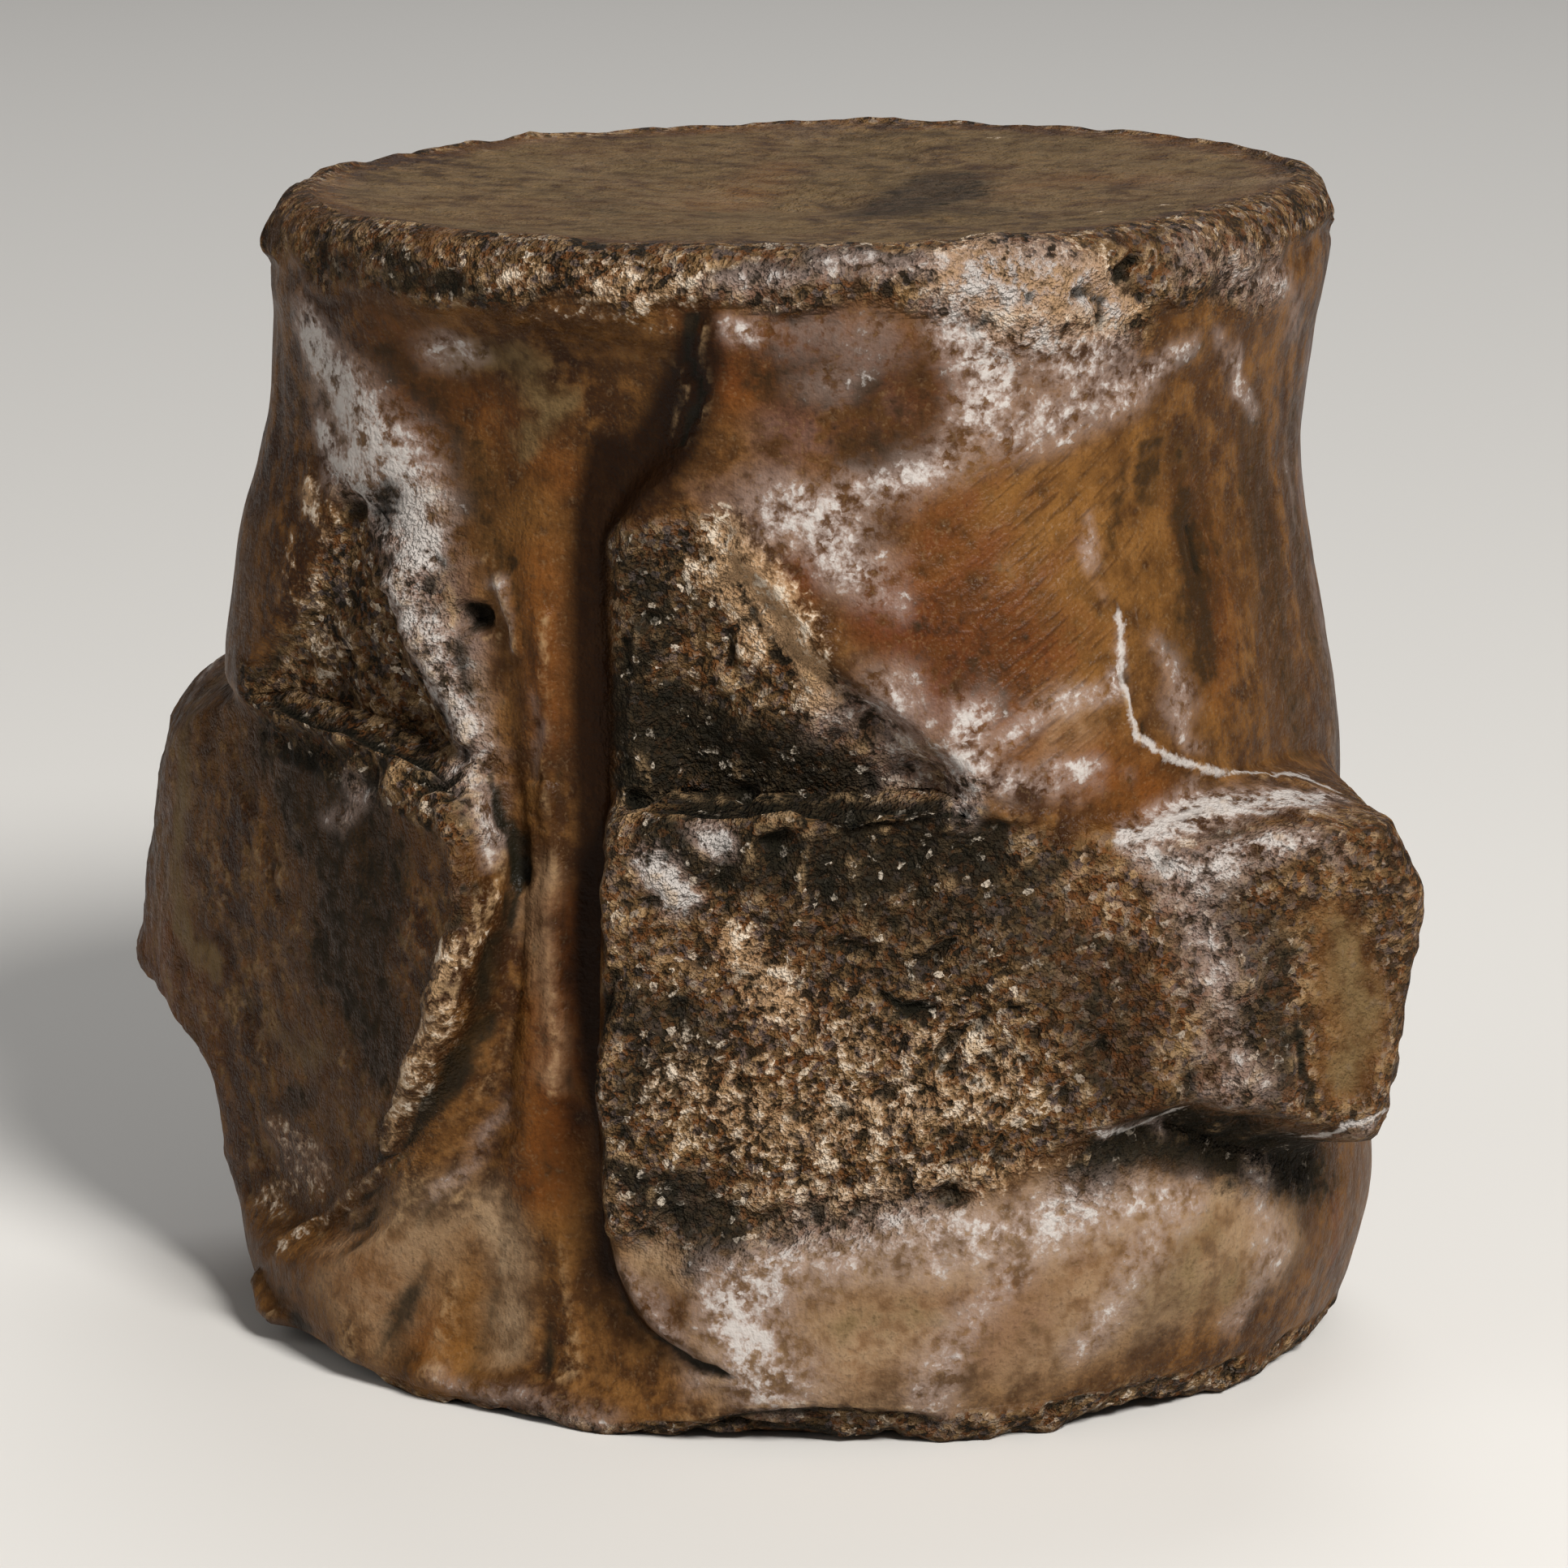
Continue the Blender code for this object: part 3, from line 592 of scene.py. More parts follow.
LILAC_AND_SHEEN = (
    (0.9, 390, 420, 60, 450, 560, 110, 530, 690, 90, 570, 800, 60),
    (1.0, 1480, 1120, 60, 1530, 1220, 80, 1570, 1330, 60),
    (1.0, 780, 1480, 60, 850, 1510, 70, 910, 1530, 50), (0.5, 1020, 480, 60, 1100, 540, 60, 960, 540, 60),
    (0.6, 880, 610, 50, 960, 580, 50), (0.7, 1040, 860, 60, 1120, 900, 60),
    (0.7, 400, 500, 50, 450, 600, 50), (0.5, 1000, 1560, 80, 900, 1640, 60),
    (0.5, 380, 540, 30, 370, 470, 24), (0.5, 560, 690, 30, 600, 860, 30),
    # The first stroke here, along the right outline, is partly painted sheen and partly lilac film
    (0.7, 1622, 420, 50, 1600, 560, 44, 1612, 700, 44, 1640, 860, 44), (0.6, 930, 330, 40, 1080, 330, 40),
    (0.5, 420, 960, 40, 480, 1000, 40),
)
GRANULAR = (
    (0.9, 900, 670, 44, 945, 740, 56, 985, 790, 56, 1040, 880, 44, 1120, 950, 36),
    (0.9, 1180, 340, 70, 1260, 370, 90, 1340, 360, 80, 1400, 390, 60),
    (0.9, 1470, 1110, 50, 1520, 1200, 70, 1550, 1300, 70, 1530, 1350, 50),
    (0.7, 1480, 340, 60, 1560, 350, 60), (0.7, 770, 1470, 50, 850, 1530, 70, 930, 1530, 44),
)
# Thin lines of the photographed side, as x and y of each place: white mineral veins and dark fissures
VEINS = (
    (1378, 762, 1384, 852, 1400, 908, 1430, 926, 1460, 940, 1508, 956, 1596, 953, 1652, 975),
    (1404, 1034, 1440, 1012, 1500, 998, 1560, 1000), (1352, 1394, 1400, 1384, 1450, 1366),
    (1612, 1398, 1660, 1386, 1712, 1370),
)
FISSURES = (
    (765, 985, 850, 996, 960, 1004, 1060, 1008, 1190, 1004),
    (305, 852, 350, 872, 400, 886, 480, 924, 556, 950), (1085, 1222, 1110, 1242, 1150, 1240),
    (800, 1648, 845, 1680, 890, 1696), (606, 960, 622, 1010, 640, 1080, 632, 1140),
    (1600, 1262, 1608, 1320, 1624, 1372),
)
LINE_REACH = 0.7
LINE_END = (0.30, 0.05)
LINE_SIDE = (0.50, 0.26)

# Relief of the photographed side, as strokes whose first number is a height in millimetres
RAISED = (
    (0.42, 306, 1600, 22, 322, 1614, 26, 350, 1620, 22), (0.1, 440, 1500, 24, 380, 1590, 26),
    (0.14, 520, 1440, 40, 450, 1600, 50, 430, 1660, 44),
    (0.16, 672, 760, 16, 676, 950, 16, 678, 1150, 18, 682, 1350, 20),
    (0.32, 592, 1105, 26, 566, 1180, 34, 536, 1270, 34, 508, 1340, 30, 478, 1412, 20),
    (0.22, 490, 720, 30, 530, 800, 34, 566, 890, 32, 592, 970, 24),
    (0.2, 608, 685, 14, 628, 745, 18, 640, 800, 12), (0.16, 325, 1548, 16, 400, 1500, 18, 478, 1440, 14),
    (0.12, 600, 1480, 34, 570, 1590, 40, 540, 1700, 36),
    (0.14, 640, 1420, 34, 680, 1540, 40, 700, 1680, 36), (0.1, 570, 1480, 30, 540, 1600, 36, 520, 1690, 30),
    (0.16, 930, 1482, 20, 1040, 1468, 24, 1180, 1448, 24, 1330, 1424, 18),
    (0.14, 1384, 852, 14, 1400, 908, 14, 1460, 940, 14, 1508, 956, 16, 1600, 962, 16),
    (0.14, 905, 680, 30, 950, 745, 34, 990, 800, 30, 1040, 880, 26),
    (0.12, 1210, 1000, 16, 1300, 1010, 18, 1400, 1035, 16), (0.1, 805, 1072, 26, 830, 1100, 24),
)
SUNK = (
    (0.3, 322, 1576, 14), (0.45, 780, 985, 16, 900, 996, 18, 1050, 1008, 18, 1190, 1004, 10),
    (0.3, 330, 868, 10, 420, 892, 14, 500, 928, 14, 552, 946, 10), (0.85, 583, 762, 26),
    (0.3, 1085, 1225, 12, 1112, 1240, 14, 1148, 1240, 10),
    (0.28, 610, 970, 14, 630, 1020, 20, 642, 1080, 14), (0.26, 805, 1650, 10, 845, 1680, 13, 888, 1694, 8),
    (0.55, 1385, 335, 20, 1398, 320, 16), (0.18, 498, 1395, 30, 560, 1325, 34, 606, 1262, 26),
    (0.1, 650, 1440, 24, 670, 1560, 30, 680, 1680, 24), (0.14, 1470, 655, 18, 1480, 700, 18),
    (0.18, 1604, 1290, 10, 1612, 1360, 12), (0.1, 1374, 780, 8, 1390, 860, 8, 1412, 915, 8, 1470, 950, 8),
    (0.2, 850, 395, 14, 840, 440, 16, 862, 480, 14, 840, 540, 14), (0.25, 1240, 1240, 10, 1262, 1246, 10),
    (0.22, 1170, 1160, 10, 1150, 1180, 10), (0.22, 1040, 1165, 12, 1075, 1175, 12), (0.2, 910, 1330, 12),
    (0.2, 1360, 1290, 12),
)

# Relief of the far side, as strokes of a size and then the azimuth, height and radius in mm of each place:
# low ridges, vessel holes and furrows
FAR_RAISED = (
    (0.26, 180, 4, 3.0, 181, 14, 2.2, 179, 24, 3.0), (0.12, 140, 6, 2.6, 143, 14, 2.0, 138, 22, 2.6),
    (0.12, -138, 5, 2.6, -142, 13, 2.0, -136, 23, 2.6),
)
FAR_HOLES = (
    (0.8, 171, 15.2, 0.5), (0.7, -170, 13.6, 0.45), (0.4, 158, 9.4, 0.35), (0.4, -150, 19.2, 0.35),
    (0.45, -118, 20.5, 0.4),
)
FAR_SUNK = (
    (0.16, 160, 5, 0.6, 162, 10, 2.0, 161, 16, 2.0, 158, 22, 0.6),
    (0.16, -160, 6, 0.6, -162, 11, 2.0, -161, 17, 1.8, -158, 22, 0.6),
    (0.14, 126, 8, 0.5, 129, 12, 1.5, 131, 18, 0.5), (0.14, -120, 16, 0.5, -122, 20, 1.4, -124, 24, 0.5),
)

BAND_TOP = (
    (-180, 0.9), (-120, 1.1), (-60, 1.3), (-20, 1.6), (0, 1.5), (25, 1.3), (45, 1.3), (60, 2.0),
    (80, 1.5), (120, 1.0), (180, 0.9),
)
BAND_BOTTOM = (
    (-180, 0.7), (-80, 0.5), (-50, 0.45), (-10, 0.35), (10, 0.5), (30, 0.8), (60, 1.0), (90, 0.8),
    (180, 0.7),
)

# Noises that the relief and the masks share, as (size of the features in mm, seed, octaves)
NOISES = {
    "ragged": (1.6, 41, 4), "crumb": (0.5, 51, 2), "lumps": (1.0, 71, 3), "slow": (4.5, 81, 3),
    "tone": (3.6, 131, 4), "patch": (1.3, 141, 3), "broad": (2.8, 151, 3), "pits": (1.5, 161, 2),
    "pit_edges": (0.6, 171, 2), "face": (3.2, 241, 4),
}
WARP_SIZE, WARP_SEEDS, WARP_OCTAVES, WARP_GAIN = 1.5, (11, 21, 31), 4, 0.6
WARP_STROKES, WARP_VEINS, WARP_FISSURES, WARP_RAISED, WARP_SUNK = 0.5, 0.05, 0.08, 0.15, 0.12

# Where the bone is broken: each pair is where a share starts and where it is full
FACET_FADE, CANAL_WALL = (22.4, 21.2), (0.1, 0.5)
NOTCH_DROP, NOTCH_REACH, NOTCH_ASIDE = 0.3, (1.3, 0.9), (50, 46)
BAND_TOP_EDGE, BAND_BOTTOM_EDGE = (0.25, -0.15), (0.15, -0.15)
SLAB_FRONT, SLAB_ASIDE, SLAB_TOP = (58, 44), (108, 86), (0.0, 0.9)
RIM_LIP, FACE_EDGE = (0.90, 0.98), (1.0, 0.8)
UNDER_ASIDE, UNDER_BEHIND, UNDER_TOP, UNDER_LOW = (52, 60), (100, 86), (0.5, -0.3), (-2.2, -0.9)
FAR_FROM, FAR_SHARE = 70, (12.0, 30.0)
WORN_STROKES, WORN_CORE, WORN_SMOOTHS = TAN[:2], 0.6, 0.75
# How far the noises move those edges, and how broken the half broken places are
BAND_TOP_RAGGED, BAND_BOTTOM_RAGGED, LIP_RAGGED = 0.5, 0.35, 0.03
SLAB_RIGHT, SLAB_LEFT, SLAB_PATCHY = 0.6, 0.34, 0.12
SLAB_PATCH_TURN, SLAB_TONE_TURN, SLAB_TOP_SHIFT, SLAB_TOP_PATCHY = 9, 6, 0.5, 0.6
RAW_RIM, RAW_RIM_PATCHY, RAW_FACE, RAW_FACE_PATCHY = 0.75, 0.5, 0.24, 0.10
RAW_LIP, RAW_BASE, RAW_UNDER = 0.6, 0.7, 0.7

# Threads of the bone's fibres, as (width, length, seed) of their noise, and the fan below the canal
UPRIGHT, SLANTED, FANNED = (0.55, 4.0, 101), (0.42, 3.2, 111), (0.75, 6.0, 121)
FAN_TOP, FAN_ASIDE, FAN_TURN = 11.5, 0.6, 9.0
FAN_HEIGHT, FAN_WIDTH, FAN_AZ = (9.0, 6.5), (34.0, 24.0), -4
SLANT_AZ, SLANT_WIDTH, SLANT_FROM, SLANT_TO = 56.0, 17.0, (13.5, 17.0), (26.0, 23.5)

# Masks that are blotchy on the far side too: their strokes, 1 if those are warped, 1 if the top face is
# blotchy as well, the blotches' strength, size, seed and gain, and the noise where they start and are full
BLOTCHY = {
    "chalk_and_sheen": (CHALK_AND_SHEEN, 1, 0, 0.85, 3.8, 181, 0.65, 0.35, 0.95),
    "cream": (CREAM, 1, 1, 0.7, 2.6, 191, 0.65, 0.4, 0.9),
    "pale": (PALE, 1, 1, 0.7, 5.0, 201, 0.65, 0.1, 0.8),
    "amber": (AMBER, 0, 0, 1.0, 6.5, 211, 0.6, -0.1, 0.6),
    "red": (RED, 0, 0, 0.6, 3.8, 221, 0.6, 0.2, 0.8),
    "lilac_and_sheen": (LILAC_AND_SHEEN, 1, 0, 0.7, 4.0, 231, 0.65, 0.1, 0.8),
}
BLOTCH_OCTAVES = 5
# Tan and dark patches of the top face, cores of dark strokes, and how striated the bone is
FACE_TAN, FACE_TAN_SHARE, FACE_TAN_PATCHY, GOLD_OVER_TAN = (2.6, 251, 5, 0.6), 0.74, 0.30, 0.5
FACE_DARK, FACE_DARK_SHARE, FACE_DARK_FROM = (3.4, 261, 5, 0.65), 0.55, (0.25, 0.9)
DARK_CORE, CANAL_SHADE_CORE, HOLE_DARKENING, HOLE_DARKENING_CORE = 0.6, 0.9, 1.3, 0.7
STRIATED, STRIATED_LEANING, STRIATED_FANNED = 0.35, 0.65, 0.20

# Heights of the relief in mm, and its shares and cores
SWELLS, CRUMBS, LUMPS, BROAD, PITS = 0.08, 0.10, 0.14, 0.26, 0.26
RIM_SWELL, RIM_LUMPS, RIM_GROOVE, BASE_WEAR, BASE_CHIPS = 0.05, 0.06, 0.07, 0.12, 0.16
FACE_ROUGH, FACE_DIMPLE, FACE_RING = 0.10, 0.25, 0.05
THREADS, SMOOTH_LUMPS, FAN_THREADS, CHALK_LIFT, CREAM_LIFT = 0.02, 0.025, 0.03, 0.07, 0.05
PIT_FROM, PIT_EDGE_FROM, EDGE_REACH, EDGE_CALM = (0.25, 0.75), (-0.2, 0.3), (1.6, 0.3), 0.75
GROOVE_AT, GROOVE_WIDTH, DIMPLE_WIDTH, RING_AT, RING_WIDTH = 0.35, 0.25, 0.22, 0.42, 0.12
CHALK_LUMPS, RAISED_LUMPS, BASE_SHARE = 0.6, 0.35, 0.4
RAISED_CORE, SUNK_CORE, HOLE_CORE = 0.9, 0.8, 0.8
CAVITY_ROUNDS, CAVITY_DEPTH = 3, 0.09

AZIMUTH = np.concatenate([np.repeat(AZ[:1], FIRST_SIDE, 0), AZ, np.repeat(AZ[-1:], len(TOP), 0)]).ravel()
ROW = np.repeat(np.arange(SHAPE[0]), SHAPE[1])
ON_BASE, ON_TOP = ROW < FIRST_SIDE, ROW >= LAST_SIDE
ON_SIDES = ~ON_BASE & ~ON_TOP
OUT = np.concatenate([BASE_SCALES, np.ones(len(SIDES)), TOP_RINGS])[ROW]
NOISE = {name: rough(P, *values) for name, values in NOISES.items()}
WARP = np.stack([rough(P, WARP_SIZE, seed, WARP_OCTAVES, WARP_GAIN) for seed in WARP_SEEDS], axis=-1)
WARPED = P + WARP_STROKES * WARP


def places_of(numbers, width=3):
    """A path's numbers as its places, each (x, y, radius) or (x, y)."""
    return [numbers[i : i + width] for i in range(0, len(numbers), width)]


def painted(p, strokes, core=1.0, **where):
    """A mask from its strokes: the strongest at each point, full from core inwards."""
    best = np.zeros(len(p))
    for strength, *path in strokes:
        best = np.maximum(best, strength * smoothstep(0.0, core, near(p, places_of(path), **where)))
    return best


def painted_far(p, strokes, core=1.0):
    return painted(p, strokes, core, place=far_place, per_mm=1)


def line_distance(p, lines):
    """(signed distance in mm to the nearest line, 1 beside a line and 0 away from it and past its ends)."""
    best = np.full(len(p), LINE_REACH)
    at_line = np.zeros(len(p))
    for line in lines:
        places = [seen(x, y) for x, y in places_of(line, 2)]
        for a, b in zip(places[:-1], places[1:]):
            along = b - a
            t = np.clip((p - a) @ along / (along @ along), 0, 1)
            off = p - (a + t[:, None] * along)
            distance = np.linalg.norm(off, axis=-1)
            past = np.abs(off @ along) / np.linalg.norm(along)
            side = np.sign(off @ np.cross(along, (a + b) * (1, 1, 0)))
            nearer = distance < np.abs(best)
            best = np.where(nearer, distance * np.where(side < 0, -1, 1), best)
            here = smoothstep(*LINE_SIDE, distance) * smoothstep(*LINE_END, past)
            at_line = np.where(nearer, here, at_line)
    return best, at_line


def fibre_place(slant):
    """(across the bone's fibres, along them, 0) in mm, for fibres that lean by slant degrees."""
    s = np.radians(AZIMUTH) * MEAN_RADIUS
    z = P[:, 2]
    return np.stack([s * cosd(slant) - z * sind(slant), s * sind(slant) + z * cosd(slant), 0 * s], axis=-1)


def thread(place, width, length, seed):
    """Noise drawn out along the fibres."""
    return rough(place / (width, length, 1), 1.0, seed, 3)


def fibres():
    """(threads, the share of them that lean on the right flank, the share that fan below the canal)."""
    z = P[:, 2]
    leaning = bump(AZIMUTH, SLANT_AZ, SLANT_WIDTH) * smoothstep(*SLANT_FROM, z) * smoothstep(*SLANT_TO, z)
    fanned = smoothstep(*FAN_HEIGHT, z) * smoothstep(*FAN_WIDTH, np.abs(AZIMUTH - FAN_AZ))
    fan = fibre_place(0)
    fan[:, 0] = np.arctan2(fan[:, 0] + FAN_ASIDE, np.maximum(FAN_TOP - z, 0.5)) * FAN_TURN
    mixed = thread(fibre_place(0), *UPRIGHT) * (1 - leaning) + thread(fibre_place(SLANT), *SLANTED) * leaning
    return mixed * (1 - fanned) + thread(fan, *FANNED) * fanned, leaning, fanned


def zones():
    """Shares of the kinds of surface by name; raw is the share of broken granular bone."""
    az, z, aside = AZIMUTH, P[:, 2], np.abs(AZIMUTH)
    ragged, patch, tone = NOISE["ragged"], NOISE["patch"], NOISE["tone"]
    top, foot = platform_edges(az)
    inside = in_canal(az, z)
    beside_canal = (1 - inside) * ON_SIDES
    facet = in_facet(az, z) * beside_canal * smoothstep(*FACET_FADE, z + WARP_STROKES * WARP[:, 0])
    flat = in_platform(az, z) * (1 - smoothstep(*CANAL_WALL, inside)) * ON_SIDES
    notch = smoothstep(*NOTCH_REACH, np.abs(z - top + NOTCH_DROP)) * smoothstep(*NOTCH_ASIDE, aside)
    notch = notch * beside_canal
    below_top = top_height(az) - z - curve(az, BAND_TOP) - BAND_TOP_RAGGED * ragged
    band_top = smoothstep(*BAND_TOP_EDGE, below_top) * ON_SIDES
    above_band = z - curve(az, BAND_BOTTOM) - BAND_BOTTOM_RAGGED * ragged
    band_bottom = smoothstep(*BAND_BOTTOM_EDGE, above_band) * ON_SIDES
    slab_right = SLAB_RIGHT + (1 - SLAB_RIGHT) * smoothstep(*SLAB_FRONT, aside)
    slab = flat * np.where(az > 0, slab_right, SLAB_LEFT + SLAB_PATCHY * patch)
    slab = slab * smoothstep(*SLAB_ASIDE, aside + SLAB_PATCH_TURN * patch + SLAB_TONE_TURN * tone)
    slab = slab * smoothstep(*SLAB_TOP, top - z + SLAB_TOP_SHIFT + SLAB_TOP_PATCHY * patch)
    lip = smoothstep(*RIM_LIP, OUT + LIP_RAGGED * ragged) * ON_TOP
    worn_rim = np.clip(RAW_RIM + RAW_RIM_PATCHY * patch, 0, 1)
    rims = [band_top * worn_rim, band_bottom, RAW_LIP * lip * worn_rim]
    raw = np.maximum.reduce([facet, slab, notch, *rims, RAW_BASE * ON_BASE])
    raw = raw * (1 - WORN_SMOOTHS * painted(WARPED, WORN_STROKES, WORN_CORE))
    # The underside of the rib process: granular, and darkened as painted shade through the dark mask
    under = smoothstep(*UNDER_ASIDE, az) * smoothstep(foot + UNDER_TOP[0], foot + UNDER_TOP[1], z)
    under = under * smoothstep(foot + UNDER_LOW[0], foot + UNDER_LOW[1], z) * smoothstep(*UNDER_BEHIND, az)
    face = (RAW_FACE + RAW_FACE_PATCHY * patch) * ON_TOP
    raw = np.maximum.reduce([raw, RAW_UNDER * under, painted(WARPED, GRANULAR), face])
    far = ON_SIDES * smoothstep(*FAR_SHARE, np.abs((az - VIEW_AZ + 180) % 360 - 180) - FAR_FROM)
    return {
        "facet": facet, "flat": flat, "lip": lip, "under": under, "raw": raw, "far": far,
        "below_top": below_top, "band_top": band_top, "band_bottom": band_bottom,
    }


def colour_masks(zone):
    """The masks that the material reads, by name."""
    masks = {"raw": zone["raw"], "tone": NOISE["tone"], "patch": NOISE["patch"]}
    for name, (strokes, warped, top_too, strength, size, seed, gain, low, high) in BLOTCHY.items():
        blotches = smoothstep(low, high, rough(P, size, seed, BLOTCH_OCTAVES, gain))
        blotches = strength * (zone["far"] + ON_TOP * top_too) * blotches
        masks[name] = np.maximum(painted(WARPED if warped else P, strokes), blotches)
    masks["vein"], masks["vein_near"] = line_distance(P + WARP_VEINS * WARP, VEINS)
    masks["fissure"], masks["fissure_near"] = line_distance(P + WARP_FISSURES * WARP, FISSURES)
    masks["gold"] = painted(WARPED, GOLD)
    face_tan = ON_TOP * (1 - zone["lip"]) * (FACE_TAN_SHARE + FACE_TAN_PATCHY * rough(P, *FACE_TAN))
    masks["tan"] = np.maximum(painted(WARPED, TAN), face_tan * (1 - GOLD_OVER_TAN * masks["gold"]))
    face_dark = FACE_DARK_SHARE * ON_TOP * smoothstep(*FACE_DARK_FROM, rough(P, *FACE_DARK))
    # The far side's vessel holes are darkened as well as sunk
    holes = HOLE_DARKENING * painted_far(P, FAR_HOLES, HOLE_DARKENING_CORE)
    # Dark stains, with painted shade under the rib process and towards the right outline
    darks = [painted(WARPED, DARK_STAINS_AND_SHADE, DARK_CORE), holes, zone["under"] * ON_SIDES, face_dark]
    masks["dark"] = np.maximum.reduce(darks)
    # Painted shade on the canal's right wall and in its upper pocket, kept off the facets and platforms
    masks["canal_shade"] = painted(P, CANAL_SHADE, CANAL_SHADE_CORE) * ON_SIDES * (1 - zone["facet"]) * (1 - zone["flat"])
    striated = STRIATED + STRIATED_LEANING * LEANING - STRIATED_FANNED * FANNING
    masks["fibrous"] = striated * ON_SIDES * (1 - zone["flat"])
    masks["slant"], masks["thread"] = LEANING, FIBRES * ON_SIDES
    return masks


def relief(zone, masks):
    """The height of the relief in mm at every grid point."""
    raw, lumps, ragged = zone["raw"], NOISE["lumps"], NOISE["ragged"]
    hollow = smoothstep(*PIT_FROM, NOISE["pits"]) * smoothstep(*PIT_EDGE_FROM, NOISE["pit_edges"])
    height = SWELLS * NOISE["slow"] * (1 - ON_BASE)
    broken = CRUMBS * NOISE["crumb"] + LUMPS * lumps + BROAD * NOISE["broad"] * ON_SIDES - PITS * hollow
    near_edge = np.maximum(smoothstep(*EDGE_REACH, top_height(AZIMUTH) - P[:, 2]) * ON_SIDES, ON_TOP)
    height += raw * broken * (1 - EDGE_CALM * near_edge)
    height += (RIM_SWELL + RIM_LUMPS * lumps) * zone["band_top"]
    height -= RIM_GROOVE * bump(zone["below_top"], GROOVE_AT, GROOVE_WIDTH) * ON_SIDES
    height -= zone["band_bottom"] * (BASE_WEAR + BASE_CHIPS * ragged)
    face = FACE_ROUGH * NOISE["face"] - FACE_DIMPLE * bump(OUT, 0, DIMPLE_WIDTH)
    face = face + FACE_RING * bump(OUT, RING_AT, RING_WIDTH)
    height += ON_TOP * smoothstep(*FACE_EDGE, OUT) * face
    height += (1 - raw) * (THREADS * masks["thread"] * (1 - zone["flat"]) + SMOOTH_LUMPS * lumps)
    height += FAN_THREADS * FANNING * masks["thread"]
    height += CHALK_LIFT * masks["chalk_and_sheen"] * (CHALK_LUMPS + CHALK_LUMPS * lumps) + CREAM_LIFT * masks["cream"]
    for size, *path in RAISED:
        share = smoothstep(0, RAISED_CORE, near(P + WARP_RAISED * WARP, places_of(path)))
        height += size * share * (1 + RAISED_LUMPS * lumps)
    height += painted_far(WARPED, FAR_RAISED) - painted_far(WARPED, FAR_SUNK)
    height -= painted_far(P, FAR_HOLES, HOLE_CORE)
    for size, *path in SUNK:
        height -= size * smoothstep(0, SUNK_CORE, near(P + WARP_SUNK * WARP, places_of(path)))
    return height * np.where(ON_BASE, BASE_SHARE, 1)


FIBRES, LEANING, FANNING = fibres()
ZONES = zones()
MASKS = colour_masks(ZONES)
HEIGHT = relief(ZONES, MASKS)


def blurred(field, rounds):
    """The grid's field, averaged with its neighbours that many times."""
    field = field.reshape(SHAPE)
    for _ in range(rounds):
        field = (field + np.roll(field, 1, 1) + np.roll(field, -1, 1)) / 3
        below, above = np.concatenate([field[:1], field[:-1]]), np.concatenate([field[1:], field[-1:]])
        field = (field + below + above) / 3
    return field.ravel()


def place_mesh():
    """The bone as a mesh object in metres, with its masks as attributes."""
    moved = P + NORMAL.reshape(-1, 3) * HEIGHT[:, None]
    moved[:, 2] = np.maximum(moved[:, 2], 0)
    count, columns = SHAPE
    poles = np.array([[-MIDDLE[0], -MIDDLE[1], BASE_HOLLOW], [-MIDDLE[0], -MIDDLE[1], LENGTH - TOP_DISH]])
    points = np.concatenate([moved, poles]) * METRES_PER_MM
    index = np.arange(count * columns).reshape(count, columns)
    a, b = index[:-1], np.roll(index, -1, axis=1)[:-1]
    c, d = np.roll(index, -1, axis=1)[1:], index[1:]
    quads = np.stack([a, b, c, d], axis=-1).reshape(-1, 4)
    low, high = count * columns, count * columns + 1
    first, last = index[0], index[-1]
    fans = [(low, first[(j + 1) % columns], first[j]) for j in range(columns)]
    fans += [(high, last[j], last[(j + 1) % columns]) for j in range(columns)]
    mesh = bpy.data.meshes.new("bone")
    mesh.from_pydata(points.tolist(), [], quads.tolist() + [tuple(int(i) for i in fan) for fan in fans])
    mesh.validate()
    mesh.polygons.foreach_set("use_smooth", [True] * len(mesh.polygons))
    cavity = np.clip((blurred(HEIGHT, CAVITY_ROUNDS) - HEIGHT) / CAVITY_DEPTH, -1, 1)
    for name, values in {**MASKS, "cavity": cavity}.items():
        attribute = mesh.attributes.new(name, "FLOAT", "POINT")
        attribute.data.foreach_set("value", np.append(values, [values[0], values[-1]]).astype(np.float32))
    for name, slant in (("upright", 0.0), ("slanted", SLANT)):
        fibre = mesh.attributes.new(name, "FLOAT_VECTOR", "POINT")
        places = fibre_place(slant)
        places = np.concatenate([places, places[:1], places[-1:]]).astype(np.float32)
        fibre.data.foreach_set("vector", places.ravel())
    bone = bpy.data.objects.new("bone", mesh)
    bpy.context.scene.collection.objects.link(bone)
    return bone


